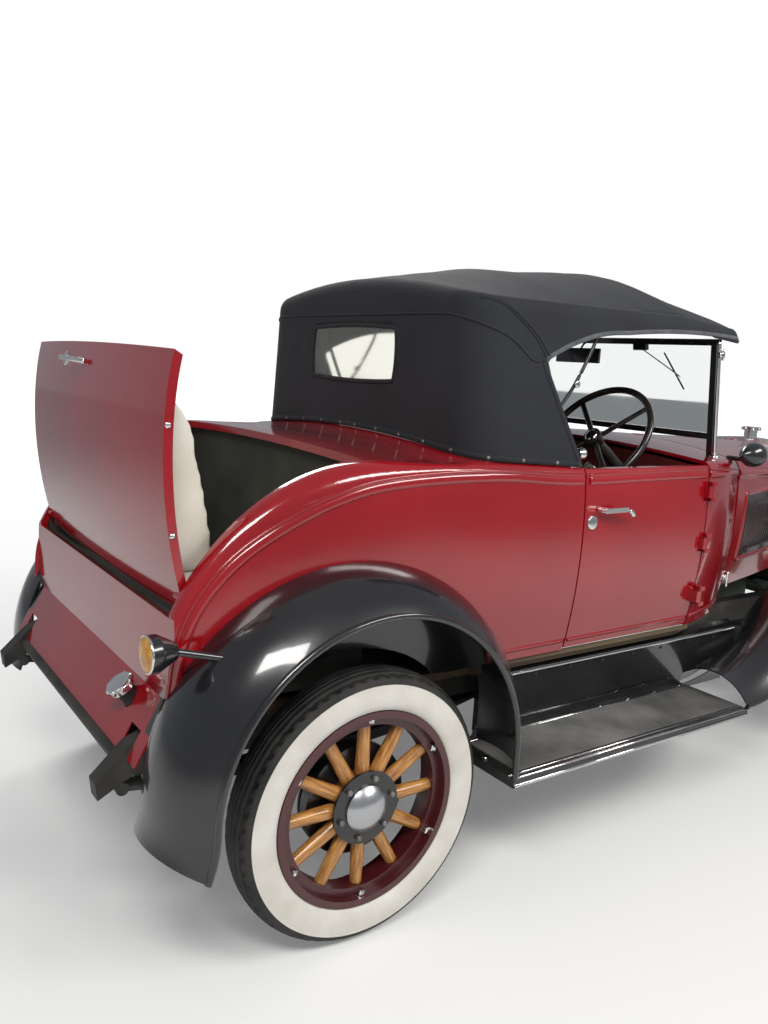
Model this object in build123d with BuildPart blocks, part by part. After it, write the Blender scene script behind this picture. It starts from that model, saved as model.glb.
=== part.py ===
from build123d import *

import os
from math import atan2, cos, degrees, hypot, radians, sin, sqrt

# Two-seat roadster of the late 1920s with a canvas top and an open rumble seat.
# Millimetres. X points forward, Y to the car's left, Z up. The origin lies on the
# ground below the middle of the car's length and width.

os.makedirs("parts", exist_ok=True)

# Chassis layout
WHEELBASE = 2780
TRACK = 1422
REAR_AXLE_X = -1335
FRONT_AXLE_X = REAR_AXLE_X + WHEELBASE
CLEAR = 0.3
MOVE_GAP = 6

# Wheels, with u measured outwards from the tyre's middle plane
TYRE_R = 366
TYRE_HALF = 62.5
TREAD_HALF = 50
BEAD_R = 252.5
RIM_R = 246
RIM_FLANGE_R = 265
RIM_HALF = 54
FELLOE_INNER_R = 222
FELLOE_WIDTH = 50
SPOKES = 12
SPOKE_HUB_R = 20
SPOKE_RIM_R = 16
SPOKE_PLANE = 8
HEEL_OUTER_R = 84
HEEL_WIDTH = 44
HUB_BARREL_R = 37.5
HUB_FLANGE_R = 98
HUB_FLANGE_T = 8
HUB_BOLTS = 6
HUB_CAP_R = 62
HUB_CAP_RISE = 26
DRUM_R = 150
DRUM_DEPTH = 30
SPINDLE_R = 18
BACKPLATE_T = 8

# Axles, springs and steering
KINGPIN_Y = 618
KINGPIN_R = 10
AXLE_BEAM_H = 45
AXLE_BEAM_Z = 322
STEER_ARM = 150
TIE_ROD_Z = 299
SPRING_W = 50
SPRING_T = 34
AXLE_TUBE_R = 38

# Frame
RAIL_TOP = 600
RAIL_H = 90
RAIL_W = 50
RAIL_FRONT_Y = 375
RAIL_REAR_Y = 500
HORN_REAR_X = REAR_AXLE_X - 626
HORN_FRONT_X = FRONT_AXLE_X + 516

# Body shell
BODY_BOTTOM = 643
DOOR_REAR_X = -535
DOOR_FRONT_X = 85
COWL_FRONT_X = 435
DECK_EDGE_X = -1300
DECK_EDGE_Z = 1258
TAIL_X = -1812
TAIL_TOP_Z = 902
TAIL_SAG = 84
LID_SAG = 38
SKIN = 22
DOOR_T = 42
FLOOR_BOTTOM = RAIL_TOP + CLEAR
FLOOR_TOP = 625

# Rumble seat
LID_HALF = 583
LID_OPEN_DEG = 59
LID_HINGE = (-1781, 930)
LID_LOW_Z = 893
PANEL_TOP_Z = 886
LID_SWING_R = 54
LID_PIN_R = 4
LID_BOSS_R = 10
WELL_FRONT_X = -1272
WELL_FLOOR = 662

# Doors
DOOR_BOTTOM = 649
DOOR_HINGE_Y = 682
HINGE_PIN_R = 3
HINGE_BARREL_R = 5.5
DOOR_HINGE_X = DOOR_FRONT_X

# Hood and radiator
HOOD_REAR_X = COWL_FRONT_X + MOVE_GAP
RADIATOR_X = FRONT_AXLE_X - 135
RADIATOR_DEPTH = 95
RADIATOR_FOOT_Z = 545
HOOD_FRONT_X = RADIATOR_X - MOVE_GAP
HOOD_T = 10
HOOD_ROD_R = 6
HOOD_SPLIT = 11.5

# Fenders and boards
FENDER_OUT_Y = 842
FENDER_T = 5
BEAD_ROLL_R = 9
REAR_ARCH_X = REAR_AXLE_X - 10
REAR_ARCH_Z = 458
ARCH_R = 445
REAR_TAIL_BEND_R = 300
REAR_TAIL_BEND_DEG = 21
FRONT_ARCH_X = FRONT_AXLE_X - 20
FRONT_ARCH_Z = 457
FRONT_NOSE_DEG = 105
FRONT_TAIL_X = 215
FRONT_TAIL_Z = 386
FRONT_TAIL_SHARE = 0.33
FRONT_FENDER_IN_Y = 520
FRONT_FENDER_IN_R = -20
BOARD_TOP = 380
BOARD_T = 26
BOARD_IN_Y = 558
BOARD_REAR_X = -905
APRON_TOP = 592

# Canvas top and windshield
CANVAS_T = 8
CANVAS_REAR_X = -975
CANVAS_FRONT_X = 245
SCREEN_BASE = (217, 1225)
SCREEN_TOP = (166, 1650)
SCREEN_HALF = 580


def save(piece, label):
    """Label one finished piece and write its STEP file."""
    piece.part.label = label
    export_step(piece.part, f"parts/{label}.step")


def both_sides(part):
    """The piece as built on the right-hand side and its mirror image on the left."""
    with BuildPart() as pair:
        add(part)
        mirror(part, about=Plane.XZ)
    return pair


# Wheels: built at the origin as right-hand wheels, so outwards is minus Y.
with BuildPart() as tyre_form:
    with BuildSketch(Plane.XY):
        with BuildLine():
            Polyline(
                (BEAD_R, -48), (RIM_FLANGE_R + 2, -48), (286, -59), (309, -TYRE_HALF), (332, -58.5),
                (349, -TREAD_HALF), (360, -30), (TYRE_R, 0), (360, 30), (349, TREAD_HALF), (332, 58.5),
                (309, TYRE_HALF), (286, 59), (RIM_FLANGE_R + 2, 48), (BEAD_R, 48), close=True,
            )
        make_face()
    revolve(axis=Axis.Y)

with BuildPart() as rim_form:
    with BuildSketch(Plane.XY):
        with BuildLine():
            Polyline(
                (RIM_R, -RIM_HALF), (RIM_FLANGE_R, -RIM_HALF), (RIM_FLANGE_R, -RIM_HALF + 4.5),
                (BEAD_R - CLEAR, -RIM_HALF + 4.5), (BEAD_R - CLEAR, RIM_HALF - 4.5),
                (RIM_FLANGE_R, RIM_HALF - 4.5), (RIM_FLANGE_R, RIM_HALF), (RIM_R, RIM_HALF),
                close=True,
            )
        make_face()
    revolve(axis=Axis.Y)

with BuildPart() as wood_form:
    with BuildSketch(Plane.XZ.offset(SPOKE_PLANE - HEEL_WIDTH / 2)):
        Circle(HEEL_OUTER_R)
        Circle(HUB_BARREL_R + CLEAR, mode=Mode.SUBTRACT)
    extrude(amount=HEEL_WIDTH)
    with BuildSketch(Plane.XZ.offset(SPOKE_PLANE - FELLOE_WIDTH / 2)):
        Circle(RIM_R - CLEAR)
        Circle(FELLOE_INNER_R, mode=Mode.SUBTRACT)
    extrude(amount=FELLOE_WIDTH)
    spoke_length = FELLOE_INNER_R - HEEL_OUTER_R + 10
    for number in range(SPOKES):
        turn = 360 / SPOKES * number
        spoke_plane = Plane(
            origin=(
                (HEEL_OUTER_R - 5) * cos(radians(turn)), -SPOKE_PLANE, (HEEL_OUTER_R - 5) * sin(radians(turn)),
            ),
            z_dir=(cos(radians(turn)), 0, sin(radians(turn))),
        )
        with BuildSketch(spoke_plane):
            Circle(SPOKE_HUB_R)
        with BuildSketch(spoke_plane.offset(spoke_length)):
            Circle(SPOKE_RIM_R)
        loft()

flange_u = SPOKE_PLANE + HEEL_WIDTH / 2 + CLEAR
drum_u = SPOKE_PLANE - HEEL_WIDTH / 2 - CLEAR
with BuildPart() as hub_form:
    with BuildSketch(Plane.XY):
        with BuildLine():
            Polyline(
                (0, -flange_u - HUB_FLANGE_T - 6), (0, -flange_u + 6), (SPINDLE_R + 0.4, -flange_u + 6),
                (SPINDLE_R + 0.4, -drum_u + 6), (DRUM_R - 8, -drum_u + 6), (DRUM_R - 8, -drum_u + DRUM_DEPTH),
                (DRUM_R, -drum_u + DRUM_DEPTH), (DRUM_R, -drum_u), (HUB_BARREL_R, -drum_u),
                (HUB_BARREL_R, -flange_u), (HUB_FLANGE_R, -flange_u),
                (HUB_FLANGE_R, -flange_u - HUB_FLANGE_T), (HUB_CAP_R, -flange_u - HUB_FLANGE_T),
                (HUB_CAP_R, -flange_u - HUB_FLANGE_T - 6), close=True,
            )
        make_face()
    revolve(axis=Axis.Y)
    with BuildSketch(Plane.XY):
        with BuildLine():
            Line((0, -flange_u - HUB_FLANGE_T - 6), (HUB_CAP_R, -flange_u - HUB_FLANGE_T - 6))
            ThreePointArc(
                (HUB_CAP_R, -flange_u - HUB_FLANGE_T - 6),
                (HUB_CAP_R * 0.6, -flange_u - HUB_FLANGE_T - 6 - HUB_CAP_RISE * 0.72),
                (0, -flange_u - HUB_FLANGE_T - 6 - HUB_CAP_RISE),
            )
            Line((0, -flange_u - HUB_FLANGE_T - 6 - HUB_CAP_RISE), (0, -flange_u - HUB_FLANGE_T - 6))
        make_face()
    revolve(axis=Axis.Y)
    with BuildSketch(Plane.XZ.offset(flange_u + HUB_FLANGE_T)):
        with PolarLocations((HUB_FLANGE_R + HUB_CAP_R) / 2, HUB_BOLTS, start_angle=15):
            RegularPolygon(8, 6)
    extrude(amount=7)

with BuildPart() as rim_and_hub:
    add(rim_form.part)
    add(hub_form.part)

WHEELS = [
    # name, axle x, side: minus one is the right-hand side
    ("front_left", FRONT_AXLE_X, 1),
    ("front_right", FRONT_AXLE_X, -1),
    ("rear_left", REAR_AXLE_X, 1),
    ("rear_right", REAR_AXLE_X, -1),
]
for corner, axle_x, side in WHEELS:
    for kind, form in (("tyre", tyre_form), ("spokes", wood_form), ("rim_and_hub", rim_and_hub)):
        shape = form.part if side < 0 else form.part.mirror(Plane.XZ)
        with BuildPart() as wheel_piece:
            with Locations((axle_x, side * TRACK / 2, TYRE_R)):
                add(shape)
        save(wheel_piece, f"{kind}_{corner}")

# Front axle beam with an eye at each kingpin
eye_bottom = TYRE_R - 25
eye_top = TYRE_R + 25
with BuildPart() as front_axle:
    with BuildSketch(Plane.YZ.offset(FRONT_AXLE_X - 22)):
        with BuildLine():
            Polyline(
                (-KINGPIN_Y, eye_bottom + 3), (-540, eye_bottom + 3), (-450, AXLE_BEAM_Z - AXLE_BEAM_H / 2),
                (450, AXLE_BEAM_Z - AXLE_BEAM_H / 2), (540, eye_bottom + 3), (KINGPIN_Y, eye_bottom + 3),
                (KINGPIN_Y, eye_top - 3), (540, eye_top - 3), (450, AXLE_BEAM_Z + AXLE_BEAM_H / 2),
                (-450, AXLE_BEAM_Z + AXLE_BEAM_H / 2), (-540, eye_top - 3), (-KINGPIN_Y, eye_top - 3),
                close=True,
            )
        make_face()
    extrude(amount=44)
    with BuildSketch(Plane.XY.offset(eye_bottom)):
        with Locations((FRONT_AXLE_X, KINGPIN_Y), (FRONT_AXLE_X, -KINGPIN_Y)):
            Circle(25)
    extrude(amount=eye_top - eye_bottom)
    with BuildSketch(Plane.XY.offset(eye_bottom - 1)):
        with Locations((FRONT_AXLE_X, KINGPIN_Y), (FRONT_AXLE_X, -KINGPIN_Y)):
            Circle(KINGPIN_R + 0.4)
    extrude(amount=eye_top - eye_bottom + 2, mode=Mode.SUBTRACT)
save(front_axle, "front_axle")

# Steering knuckles: fork lugs round the axle's eye, brake plate, spindle and steering arm
plate_y = KINGPIN_Y + 25 + 7
lug_t = 26
with BuildPart() as knuckle_form:
    with BuildSketch(Plane.XY.offset(eye_bottom - 0.5 - lug_t)):
        with Locations((FRONT_AXLE_X, -KINGPIN_Y)):
            Circle(24)
        with Locations((FRONT_AXLE_X, -(KINGPIN_Y + plate_y) / 2)):
            Rectangle(40, plate_y - KINGPIN_Y + 4)
    extrude(amount=lug_t)
    with BuildSketch(Plane.XY.offset(eye_top + 0.5)):
        with Locations((FRONT_AXLE_X, -KINGPIN_Y)):
            Circle(24)
        with Locations((FRONT_AXLE_X, -(KINGPIN_Y + plate_y) / 2)):
            Rectangle(40, plate_y - KINGPIN_Y + 4)
    extrude(amount=lug_t)
    with BuildSketch(Plane.XY.offset(eye_bottom - 5)):
        with Locations((FRONT_AXLE_X, -KINGPIN_Y)):
            Circle(KINGPIN_R)
    extrude(amount=eye_top - eye_bottom + 10)
    with BuildSketch(Plane.XZ.offset(plate_y)):
        with Locations((FRONT_AXLE_X, TYRE_R)):
            Circle(DRUM_R - 2)
    extrude(amount=BACKPLATE_T)
    with BuildSketch(Plane.XZ.offset(plate_y)):
        with Locations((FRONT_AXLE_X, TYRE_R)):
            Circle(SPINDLE_R)
    extrude(amount=TRACK / 2 + flange_u - 12 - plate_y)
    with BuildSketch(Plane.XY.offset(eye_bottom - 0.5 - lug_t)):
        with Locations((FRONT_AXLE_X - STEER_ARM / 2, -KINGPIN_Y)):
            Rectangle(STEER_ARM, 22)
        with Locations((FRONT_AXLE_X - STEER_ARM, -KINGPIN_Y)):
            Circle(16)
    extrude(amount=18)
save(knuckle_form, "knuckle_right")
with BuildPart() as knuckle_left:
    mirror(knuckle_form.part, about=Plane.XZ)
save(knuckle_left, "knuckle_left")

# Tie rod between the steering arms
with BuildPart() as tie_rod:
    with BuildSketch(Plane.XZ.offset(-KINGPIN_Y + 10)):
        with Locations((FRONT_AXLE_X - STEER_ARM, TIE_ROD_Z)):
            Circle(10)
    extrude(amount=2 * KINGPIN_Y - 20)
    with BuildSketch(Plane.XY.offset(TIE_ROD_Z - 13)):
        with Locations((FRONT_AXLE_X - STEER_ARM, KINGPIN_Y), (FRONT_AXLE_X - STEER_ARM, -KINGPIN_Y)):
            Circle(17)
    extrude(amount=eye_bottom - 0.5 - lug_t - CLEAR - TIE_ROD_Z + 13)
save(tie_rod, "tie_rod")

# Rear axle: tube, differential case and brake plates
with BuildPart() as rear_axle:
    with BuildSketch(Plane.XZ.offset(-plate_y)):
        with Locations((REAR_AXLE_X, TYRE_R)):
            Circle(AXLE_TUBE_R)
    extrude(amount=2 * plate_y)
    with BuildSketch(Plane.XY.offset(TYRE_R)):
        with BuildLine():
            Line((REAR_AXLE_X, -150), (REAR_AXLE_X, 150))
            ThreePointArc((REAR_AXLE_X, 150), (REAR_AXLE_X + 140, 0), (REAR_AXLE_X, -150))
        make_face()
    revolve(axis=Axis((REAR_AXLE_X, 0, TYRE_R), (0, 1, 0)))
    for side in (-1, 1):
        with BuildSketch(Plane.XZ.offset(side * plate_y + (0 if side > 0 else -BACKPLATE_T))):
            with Locations((REAR_AXLE_X, TYRE_R)):
                Circle(DRUM_R - 2)
        extrude(amount=BACKPLATE_T)
    shaft_reach = TRACK / 2 + flange_u - 12
    with BuildSketch(Plane.XZ.offset(-shaft_reach)):
        with Locations((REAR_AXLE_X, TYRE_R)):
            Circle(SPINDLE_R)
    extrude(amount=2 * shaft_reach)
save(rear_axle, "rear_axle")

# Leaf springs: two in front on the axle beam, two behind on the axle tube
SPRINGS = [
    # middle x, lateral y, pad bottom z, front eye x, front eye z, rear eye x, rear eye z
    (FRONT_AXLE_X, RAIL_FRONT_Y, AXLE_BEAM_Z + AXLE_BEAM_H / 2 + CLEAR, FRONT_AXLE_X + 480, 490.7,
     FRONT_AXLE_X - 460, 488.7),
    (REAR_AXLE_X, RAIL_REAR_Y, TYRE_R + AXLE_TUBE_R + CLEAR, REAR_AXLE_X + 560, 488.7,
     REAR_AXLE_X - 560, 445.9),
]
with BuildPart() as springs:
    for mid_x, lateral, pad_z, front_x, front_z, rear_x, rear_z in SPRINGS:
        for side in (-1, 1):
            with BuildSketch(Plane.XZ.offset(-side * lateral - SPRING_W / 2)):
                with BuildLine():
                    ThreePointArc((rear_x, rear_z), (mid_x, pad_z + 12), (front_x, front_z))
                    Line((front_x, front_z), (front_x, front_z + 10))
                    ThreePointArc((front_x, front_z + 10), (mid_x, pad_z + 12 + SPRING_T), (rear_x, rear_z + 10))
                    Line((rear_x, rear_z + 10), (rear_x, rear_z))
                make_face()
                with Locations((mid_x, pad_z + 10)):
                    Rectangle(90, 20)
                with Locations((front_x, front_z + 5), (rear_x, rear_z + 5)):
                    Circle(16)
            extrude(amount=SPRING_W)
save(springs, "springs")

# Frame: tapered rails with horns, cross members and running board arms
rail_bottom = RAIL_TOP - RAIL_H
with BuildPart() as frame:
    with BuildSketch(Plane.XZ.offset(-700)):
        with BuildLine():
            Polyline(
                (HORN_FRONT_X, 512), (HORN_FRONT_X - 10, 548), (HORN_FRONT_X - 200, RAIL_TOP - 20),
                (FRONT_AXLE_X + 120, RAIL_TOP), (-1780, RAIL_TOP), (-1880, 560), (HORN_REAR_X, 480),
                (HORN_REAR_X + 6, 436), (-1880, 478), (-1790, rail_bottom), (FRONT_AXLE_X - 100, rail_bottom),
                (FRONT_AXLE_X + 300, 512), close=True,
            )
        make_face()
    extrude(amount=1400)
    with BuildSketch(Plane.XY.offset(300)):
        for side in (-1, 1):
            with BuildLine():
                Polyline(
                    (HORN_FRONT_X + 5, side * (RAIL_FRONT_Y - RAIL_W / 2)),
                    (350, side * (RAIL_FRONT_Y - RAIL_W / 2)),
                    (-700, side * (RAIL_REAR_Y - RAIL_W / 2)),
                    (HORN_REAR_X - 5, side * (RAIL_REAR_Y - RAIL_W / 2)),
                    (HORN_REAR_X - 5, side * (RAIL_REAR_Y + RAIL_W / 2)),
                    (-700, side * (RAIL_REAR_Y + RAIL_W / 2)),
                    (350, side * (RAIL_FRONT_Y + RAIL_W / 2)),
                    (HORN_FRONT_X + 5, side * (RAIL_FRONT_Y + RAIL_W / 2)),
                    close=True,
                )
            make_face()
    extrude(amount=400, mode=Mode.INTERSECT)
    CROSS_MEMBERS = [
        # x, half length, bottom z, top z
        (FRONT_AXLE_X + 300, RAIL_FRONT_Y, 516, 560),
        (RADIATOR_X + RADIATOR_DEPTH / 2, RAIL_FRONT_Y, 515, RADIATOR_FOOT_Z - CLEAR),
        (-180, 440, 520, 575),
        (-640, 490, 520, 590),
        (-1480, RAIL_REAR_Y, 560, 595),
    ]
    for cross_x, reach, low, high in CROSS_MEMBERS:
        with BuildSketch(Plane.XY.offset(low)):
            with Locations((cross_x, 0)):
                Rectangle(60, 2 * reach)
        extrude(amount=high - low)
    with BuildSketch(Plane.XZ.offset(-RAIL_REAR_Y)):
        with Locations((HORN_REAR_X + 72, 512)):
            Circle(17)
    extrude(amount=2 * RAIL_REAR_Y)
    arm_top = BOARD_TOP - BOARD_T - CLEAR
    for arm_x in (-690, 20):
        for side in (-1, 1):
            with BuildSketch(Plane.YZ.offset(arm_x - 20)):
                with BuildLine():
                    Polyline(
                        (side * (FENDER_OUT_Y - 60), arm_top), (side * 470, arm_top),
                        (side * 470, rail_bottom + 30), (side * 400, rail_bottom + 30),
                        (side * 400, rail_bottom + 5), (side * 440, rail_bottom + 5),
                        (side * 440, arm_top - 24), (side * (FENDER_OUT_Y - 60), arm_top - 12),
                        close=True,
                    )
                make_face()
            extrude(amount=40)
    iron_top = FRONT_ARCH_Z + ARCH_R + FRONT_FENDER_IN_R - 2 * CLEAR
    for side in (-1, 1):
        with BuildSketch(Plane.YZ.offset(FRONT_ARCH_X - 15)):
            with BuildLine():
                Polyline(
                    (side * (RAIL_FRONT_Y + 20), RAIL_TOP - 35), (side * (RAIL_FRONT_Y + 45), RAIL_TOP - 20),
                    (side * (FRONT_FENDER_IN_Y + 8), iron_top), (side * (FRONT_FENDER_IN_Y - 4), iron_top),
                    (side * (RAIL_FRONT_Y + 20), RAIL_TOP), close=True,
                )
            make_face()
        extrude(amount=30)
save(frame, "frame")

# Engine with its gearbox, a plain block at its real place, hung from the rails by four feet
ENGINE_FOOT_REAR_X = 570
ENGINE_FOOT_FRONT_X = 1150
with BuildPart() as engine_block:
    with BuildSketch(Plane.XY.offset(430)):
        with Locations(((COWL_FRONT_X + 60 + RADIATOR_X - 90) / 2, 0)):
            Rectangle(RADIATOR_X - 90 - COWL_FRONT_X - 60, 330)
    extrude(amount=560)
    with BuildSketch(Plane.XY.offset(430)):
        with Locations((COWL_FRONT_X - 60, 0)):
            Rectangle(260, 240)
    extrude(amount=150)
    with BuildSketch(Plane.XY.offset(RAIL_TOP + CLEAR)):
        with Locations((ENGINE_FOOT_REAR_X, 0), (ENGINE_FOOT_FRONT_X, 0)):
            Rectangle(60, 2 * RAIL_FRONT_Y + 30)
    extrude(amount=16)
save(engine_block, "engine_block")

# Propeller shaft from the gearbox to the differential
shaft_start = Vector(COWL_FRONT_X - 190 - CLEAR, 0, 500)
shaft_end = Vector(REAR_AXLE_X + 140.3, 0, TYRE_R + 6)
with BuildPart() as propeller_shaft:
    with BuildSketch(Plane(origin=shaft_end, z_dir=shaft_start - shaft_end)):
        Circle(28)
    extrude(amount=(shaft_start - shaft_end).length - 2.5)
save(propeller_shaft, "propeller_shaft")

# Exhaust pipe and silencer under the left-hand side
EXHAUST_Y = 250
EXHAUST_Z = 445
with BuildPart() as exhaust:
    with BuildSketch(Plane.YZ.offset(-1080)):
        with Locations((EXHAUST_Y, EXHAUST_Z)):
            Circle(22)
    extrude(amount=1500)
    with BuildSketch(Plane.YZ.offset(-780)):
        with Locations((EXHAUST_Y, EXHAUST_Z)):
            Circle(62)
    extrude(amount=450)
    for hanger_x in (-900, -300, 300):
        with BuildSketch(Plane.XY.offset(EXHAUST_Z)):
            with Locations((hanger_x, EXHAUST_Y)):
                Rectangle(24, 8)
        extrude(amount=FLOOR_BOTTOM - CLEAR - EXHAUST_Z)
save(exhaust, "exhaust")

# Fuel tank hung between the rear rails, with its filler neck
FILLER_Y = -400
filler_plane = Plane(origin=(-1751, FILLER_Y, 520), x_dir=(0, 1, 0), z_dir=(-0.6, 0, 0.8))
FILLER_LENGTH = 173
TANK_LOW = 410
TANK_FRONT_X = -1560
TANK_REAR_X = -1850
with BuildPart() as fuel_tank:
    with BuildSketch(Plane.XZ.offset(-440)):
        with Locations(((TANK_FRONT_X + TANK_REAR_X) / 2, (TANK_LOW + 555) / 2)):
            RectangleRounded(TANK_FRONT_X - TANK_REAR_X, 555 - TANK_LOW, 60)
    extrude(amount=880)
    with BuildSketch(Plane.XY.offset(520)):
        with Locations((-1650, 300), (-1650, -300)):
            Rectangle(60, 60)
    extrude(amount=FLOOR_BOTTOM - CLEAR - 520)
    with BuildSketch(filler_plane):
        Circle(24)
    extrude(amount=FILLER_LENGTH)
save(fuel_tank, "fuel_tank")
with BuildPart() as filler_cap:
    with BuildSketch(filler_plane.offset(FILLER_LENGTH + CLEAR)):
        Circle(33)
    extrude(amount=22)
save(filler_cap, "filler_cap")

# Red rear apron between the body's tail and the cross tube, slotted for the horns
APRON_T = 4
with BuildPart() as tank_apron:
    with BuildSketch(Plane.XZ.offset(-585)):
        with BuildLine():
            Polyline(
                (TAIL_X, 679.7), (TAIL_X + APRON_T, 678.8), (HORN_REAR_X + 72 + APRON_T, 529.3),
                (HORN_REAR_X + 72, 529.3), close=True,
            )
        make_face()
    extrude(amount=1170)
    with BuildSketch(Plane.XY.offset(500)):
        for side in (-1, 1):
            with Locations((TAIL_X - 60, side * RAIL_REAR_Y)):
                Rectangle(140, RAIL_W + 14)
    extrude(amount=96, mode=Mode.SUBTRACT)
    with BuildSketch(filler_plane):
        Circle(26)
    extrude(amount=FILLER_LENGTH, mode=Mode.SUBTRACT)
save(tank_apron, "tank_apron")


def tail_z(x, inset=0, sag=TAIL_SAG):
    """Height of the tail's round top at one station, or of a line inside it."""
    chord = hypot(DECK_EDGE_X - TAIL_X, DECK_EDGE_Z - TAIL_TOP_Z)
    radius = (chord**2 / 4 + sag**2) / (2 * sag)
    lean = atan2(DECK_EDGE_Z - TAIL_TOP_Z, DECK_EDGE_X - TAIL_X)
    down = radius - sag
    middle_x = (DECK_EDGE_X + TAIL_X) / 2 + down * sin(lean)
    middle_z = (DECK_EDGE_Z + TAIL_TOP_Z) / 2 - down * cos(lean)
    return middle_z + sqrt((radius - inset)**2 - (x - middle_x)**2)


def body_block(stations, inset=0, low_extra=0):
    """A solid lofted through body sections; inset moves every side inwards."""
    with BuildPart() as block:
        for x, low_y, mid_y, belt_y, low_z, belt_z, shoulder_y, shoulder_z, top_z in stations:
            low = (low_y - inset, low_z - low_extra)
            mid = (mid_y - inset, (low_z + belt_z) / 2)
            belt = (belt_y - inset, belt_z - inset * 0.3)
            shoulder = (shoulder_y - inset, shoulder_z - inset)
            turn = (
                belt[0] - (belt[0] - shoulder[0]) * 0.3,
                belt[1] + (shoulder[1] - belt[1]) * 0.72,
            )
            with BuildSketch(Plane.YZ.offset(x)):
                with BuildLine():
                    ThreePointArc(low, mid, belt)
                    ThreePointArc(belt, turn, shoulder)
                    ThreePointArc(shoulder, (0, top_z - inset), (-shoulder[0], shoulder[1]))
                    ThreePointArc((-shoulder[0], shoulder[1]), (-turn[0], turn[1]), (-belt[0], belt[1]))
                    ThreePointArc((-belt[0], belt[1]), (-mid[0], mid[1]), (-low[0], low[1]))
                    Line((-low[0], low[1]), low)
                make_face()
        loft()
    return block.part


def rear_stations(inset=0, sag=TAIL_SAG):
    """Body sections from the door's rear edge to the tail; a positive inset ends short of both ends."""
    rows = [
        # x, half widths low, middle and belt, low z, belt z, shoulder half width and z, centre z
        (DOOR_REAR_X - MOVE_GAP, 640, 676, 668, BODY_BOTTOM, 1190, 640, 1226, 1256),
        (CANVAS_REAR_X, 640, 676, 666, BODY_BOTTOM, 1204, 630, 1246, 1284),
        (DECK_EDGE_X, 634, 664, 655, BODY_BOTTOM, 1188, 612, 1248, 1264),
    ]
    TAIL = [
        # x, half widths low, middle, belt and shoulder, low z, drop from the top to the belt
        (-1480, 629, 656, 646, 604, BODY_BOTTOM, 68),
        (-1650, 624, 644, 635, 598, 655, 42),
        (-1755, 618, 633, 626, 594, 670, 28),
        (TAIL_X, 612, 625, 620, 590, 680, 18),
    ]
    for x, low_y, mid_y, belt_y, shoulder_y, low_z, belt_drop in TAIL:
        if x == TAIL_X:
            x = TAIL_X + inset
        top = tail_z(x, inset, sag) + inset
        rows.append((x, low_y, mid_y, belt_y, low_z, top - belt_drop, shoulder_y, top - 5, top + 10))
    return rows


def rear_block(inset=0, low_extra=0, sag=TAIL_SAG, grow=0):
    """The rear body's outer form, or a form inside it: straight quarters and a rounded tail."""
    rows = rear_stations(inset, sag)
    with BuildPart() as block:
        add(body_block(rows[:2], inset - grow, low_extra))
        add(body_block(rows[1:], inset - grow, low_extra))
    return block.part


DOOR_STATIONS = [
    # x, half widths low, middle and belt, low z, belt z, shoulder half width and z, centre z
    (DOOR_REAR_X, 640, 676, 668, BODY_BOTTOM, 1190, 640, 1226, 1256),
    (DOOR_FRONT_X, 634, 668, 660, BODY_BOTTOM, 1194, 630, 1232, 1262),
]
COWL_STATIONS = [
    # x, half widths low, middle and belt, low z, belt z, shoulder half width and z, centre z
    (DOOR_FRONT_X + MOVE_GAP, 634, 668, 660, BODY_BOTTOM, 1194, 630, 1232, 1264),
    (COWL_FRONT_X - 140, 580, 614, 606, BODY_BOTTOM, 1188, 566, 1230, 1274),
    (COWL_FRONT_X, 516, 554, 548, BODY_BOTTOM, 1180, 500, 1222, 1266),
]
HOOD_STATIONS = [
    # x, half widths low, middle and belt, low z, belt z, shoulder half width and z, centre z
    (HOOD_REAR_X, 516, 554, 548, 716, 1180, 500, 1222, 1266),
    ((HOOD_REAR_X + HOOD_FRONT_X) / 2, 420, 444, 438, 716, 1168, 396, 1212, 1252),
    (HOOD_FRONT_X, 306, 324, 318, 716, 1152, 284, 1198, 1238),
]

# Rear body: quarters, deck and tail in one shell, open below
rear_outer = rear_block()
rear_inner = rear_block(SKIN, 80)
with BuildPart() as lid_swing:
    with BuildSketch(Plane.XZ.offset(-LID_HALF - MOVE_GAP)):
        with Locations(LID_HINGE):
            Circle(LID_SWING_R)
    extrude(amount=2 * (LID_HALF + MOVE_GAP))
with BuildPart() as lid_pins:
    for side in (-1, 1):
        with BuildSketch(Plane.XZ.offset(side * 582.5 - 25.5)):
            with Locations(LID_HINGE):
                Circle(LID_PIN_R)
        extrude(amount=51)
with BuildPart() as rear_body:
    add(rear_outer)
    add(rear_inner, mode=Mode.SUBTRACT)
    with BuildSketch(Plane.XY.offset(1100)):
        with BuildLine():
            Polyline(
                (DOOR_REAR_X + 100, -610), (-820, -610), (-925, -520), (-925, 520), (-820, 610),
                (DOOR_REAR_X + 100, 610), close=True,
            )
        make_face()
    extrude(amount=300, mode=Mode.SUBTRACT)
    with BuildSketch(Plane.XY.offset(PANEL_TOP_Z)):
        with Locations(((DECK_EDGE_X + TAIL_X - 60) / 2, 0)):
            Rectangle(DECK_EDGE_X - TAIL_X + 60, 2 * (LID_HALF + MOVE_GAP))
    extrude(amount=500, mode=Mode.SUBTRACT)
    for side in (-1, 1):
        with BuildSketch(Plane.XZ.offset(side * 612 if side > 0 else -760)):
            with Locations((REAR_AXLE_X, TYRE_R)):
                Circle(395)
        extrude(amount=148, mode=Mode.SUBTRACT)
    add(lid_swing.part, mode=Mode.SUBTRACT)
    add(lid_pins.part)
save(rear_body, "rear_body")

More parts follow.
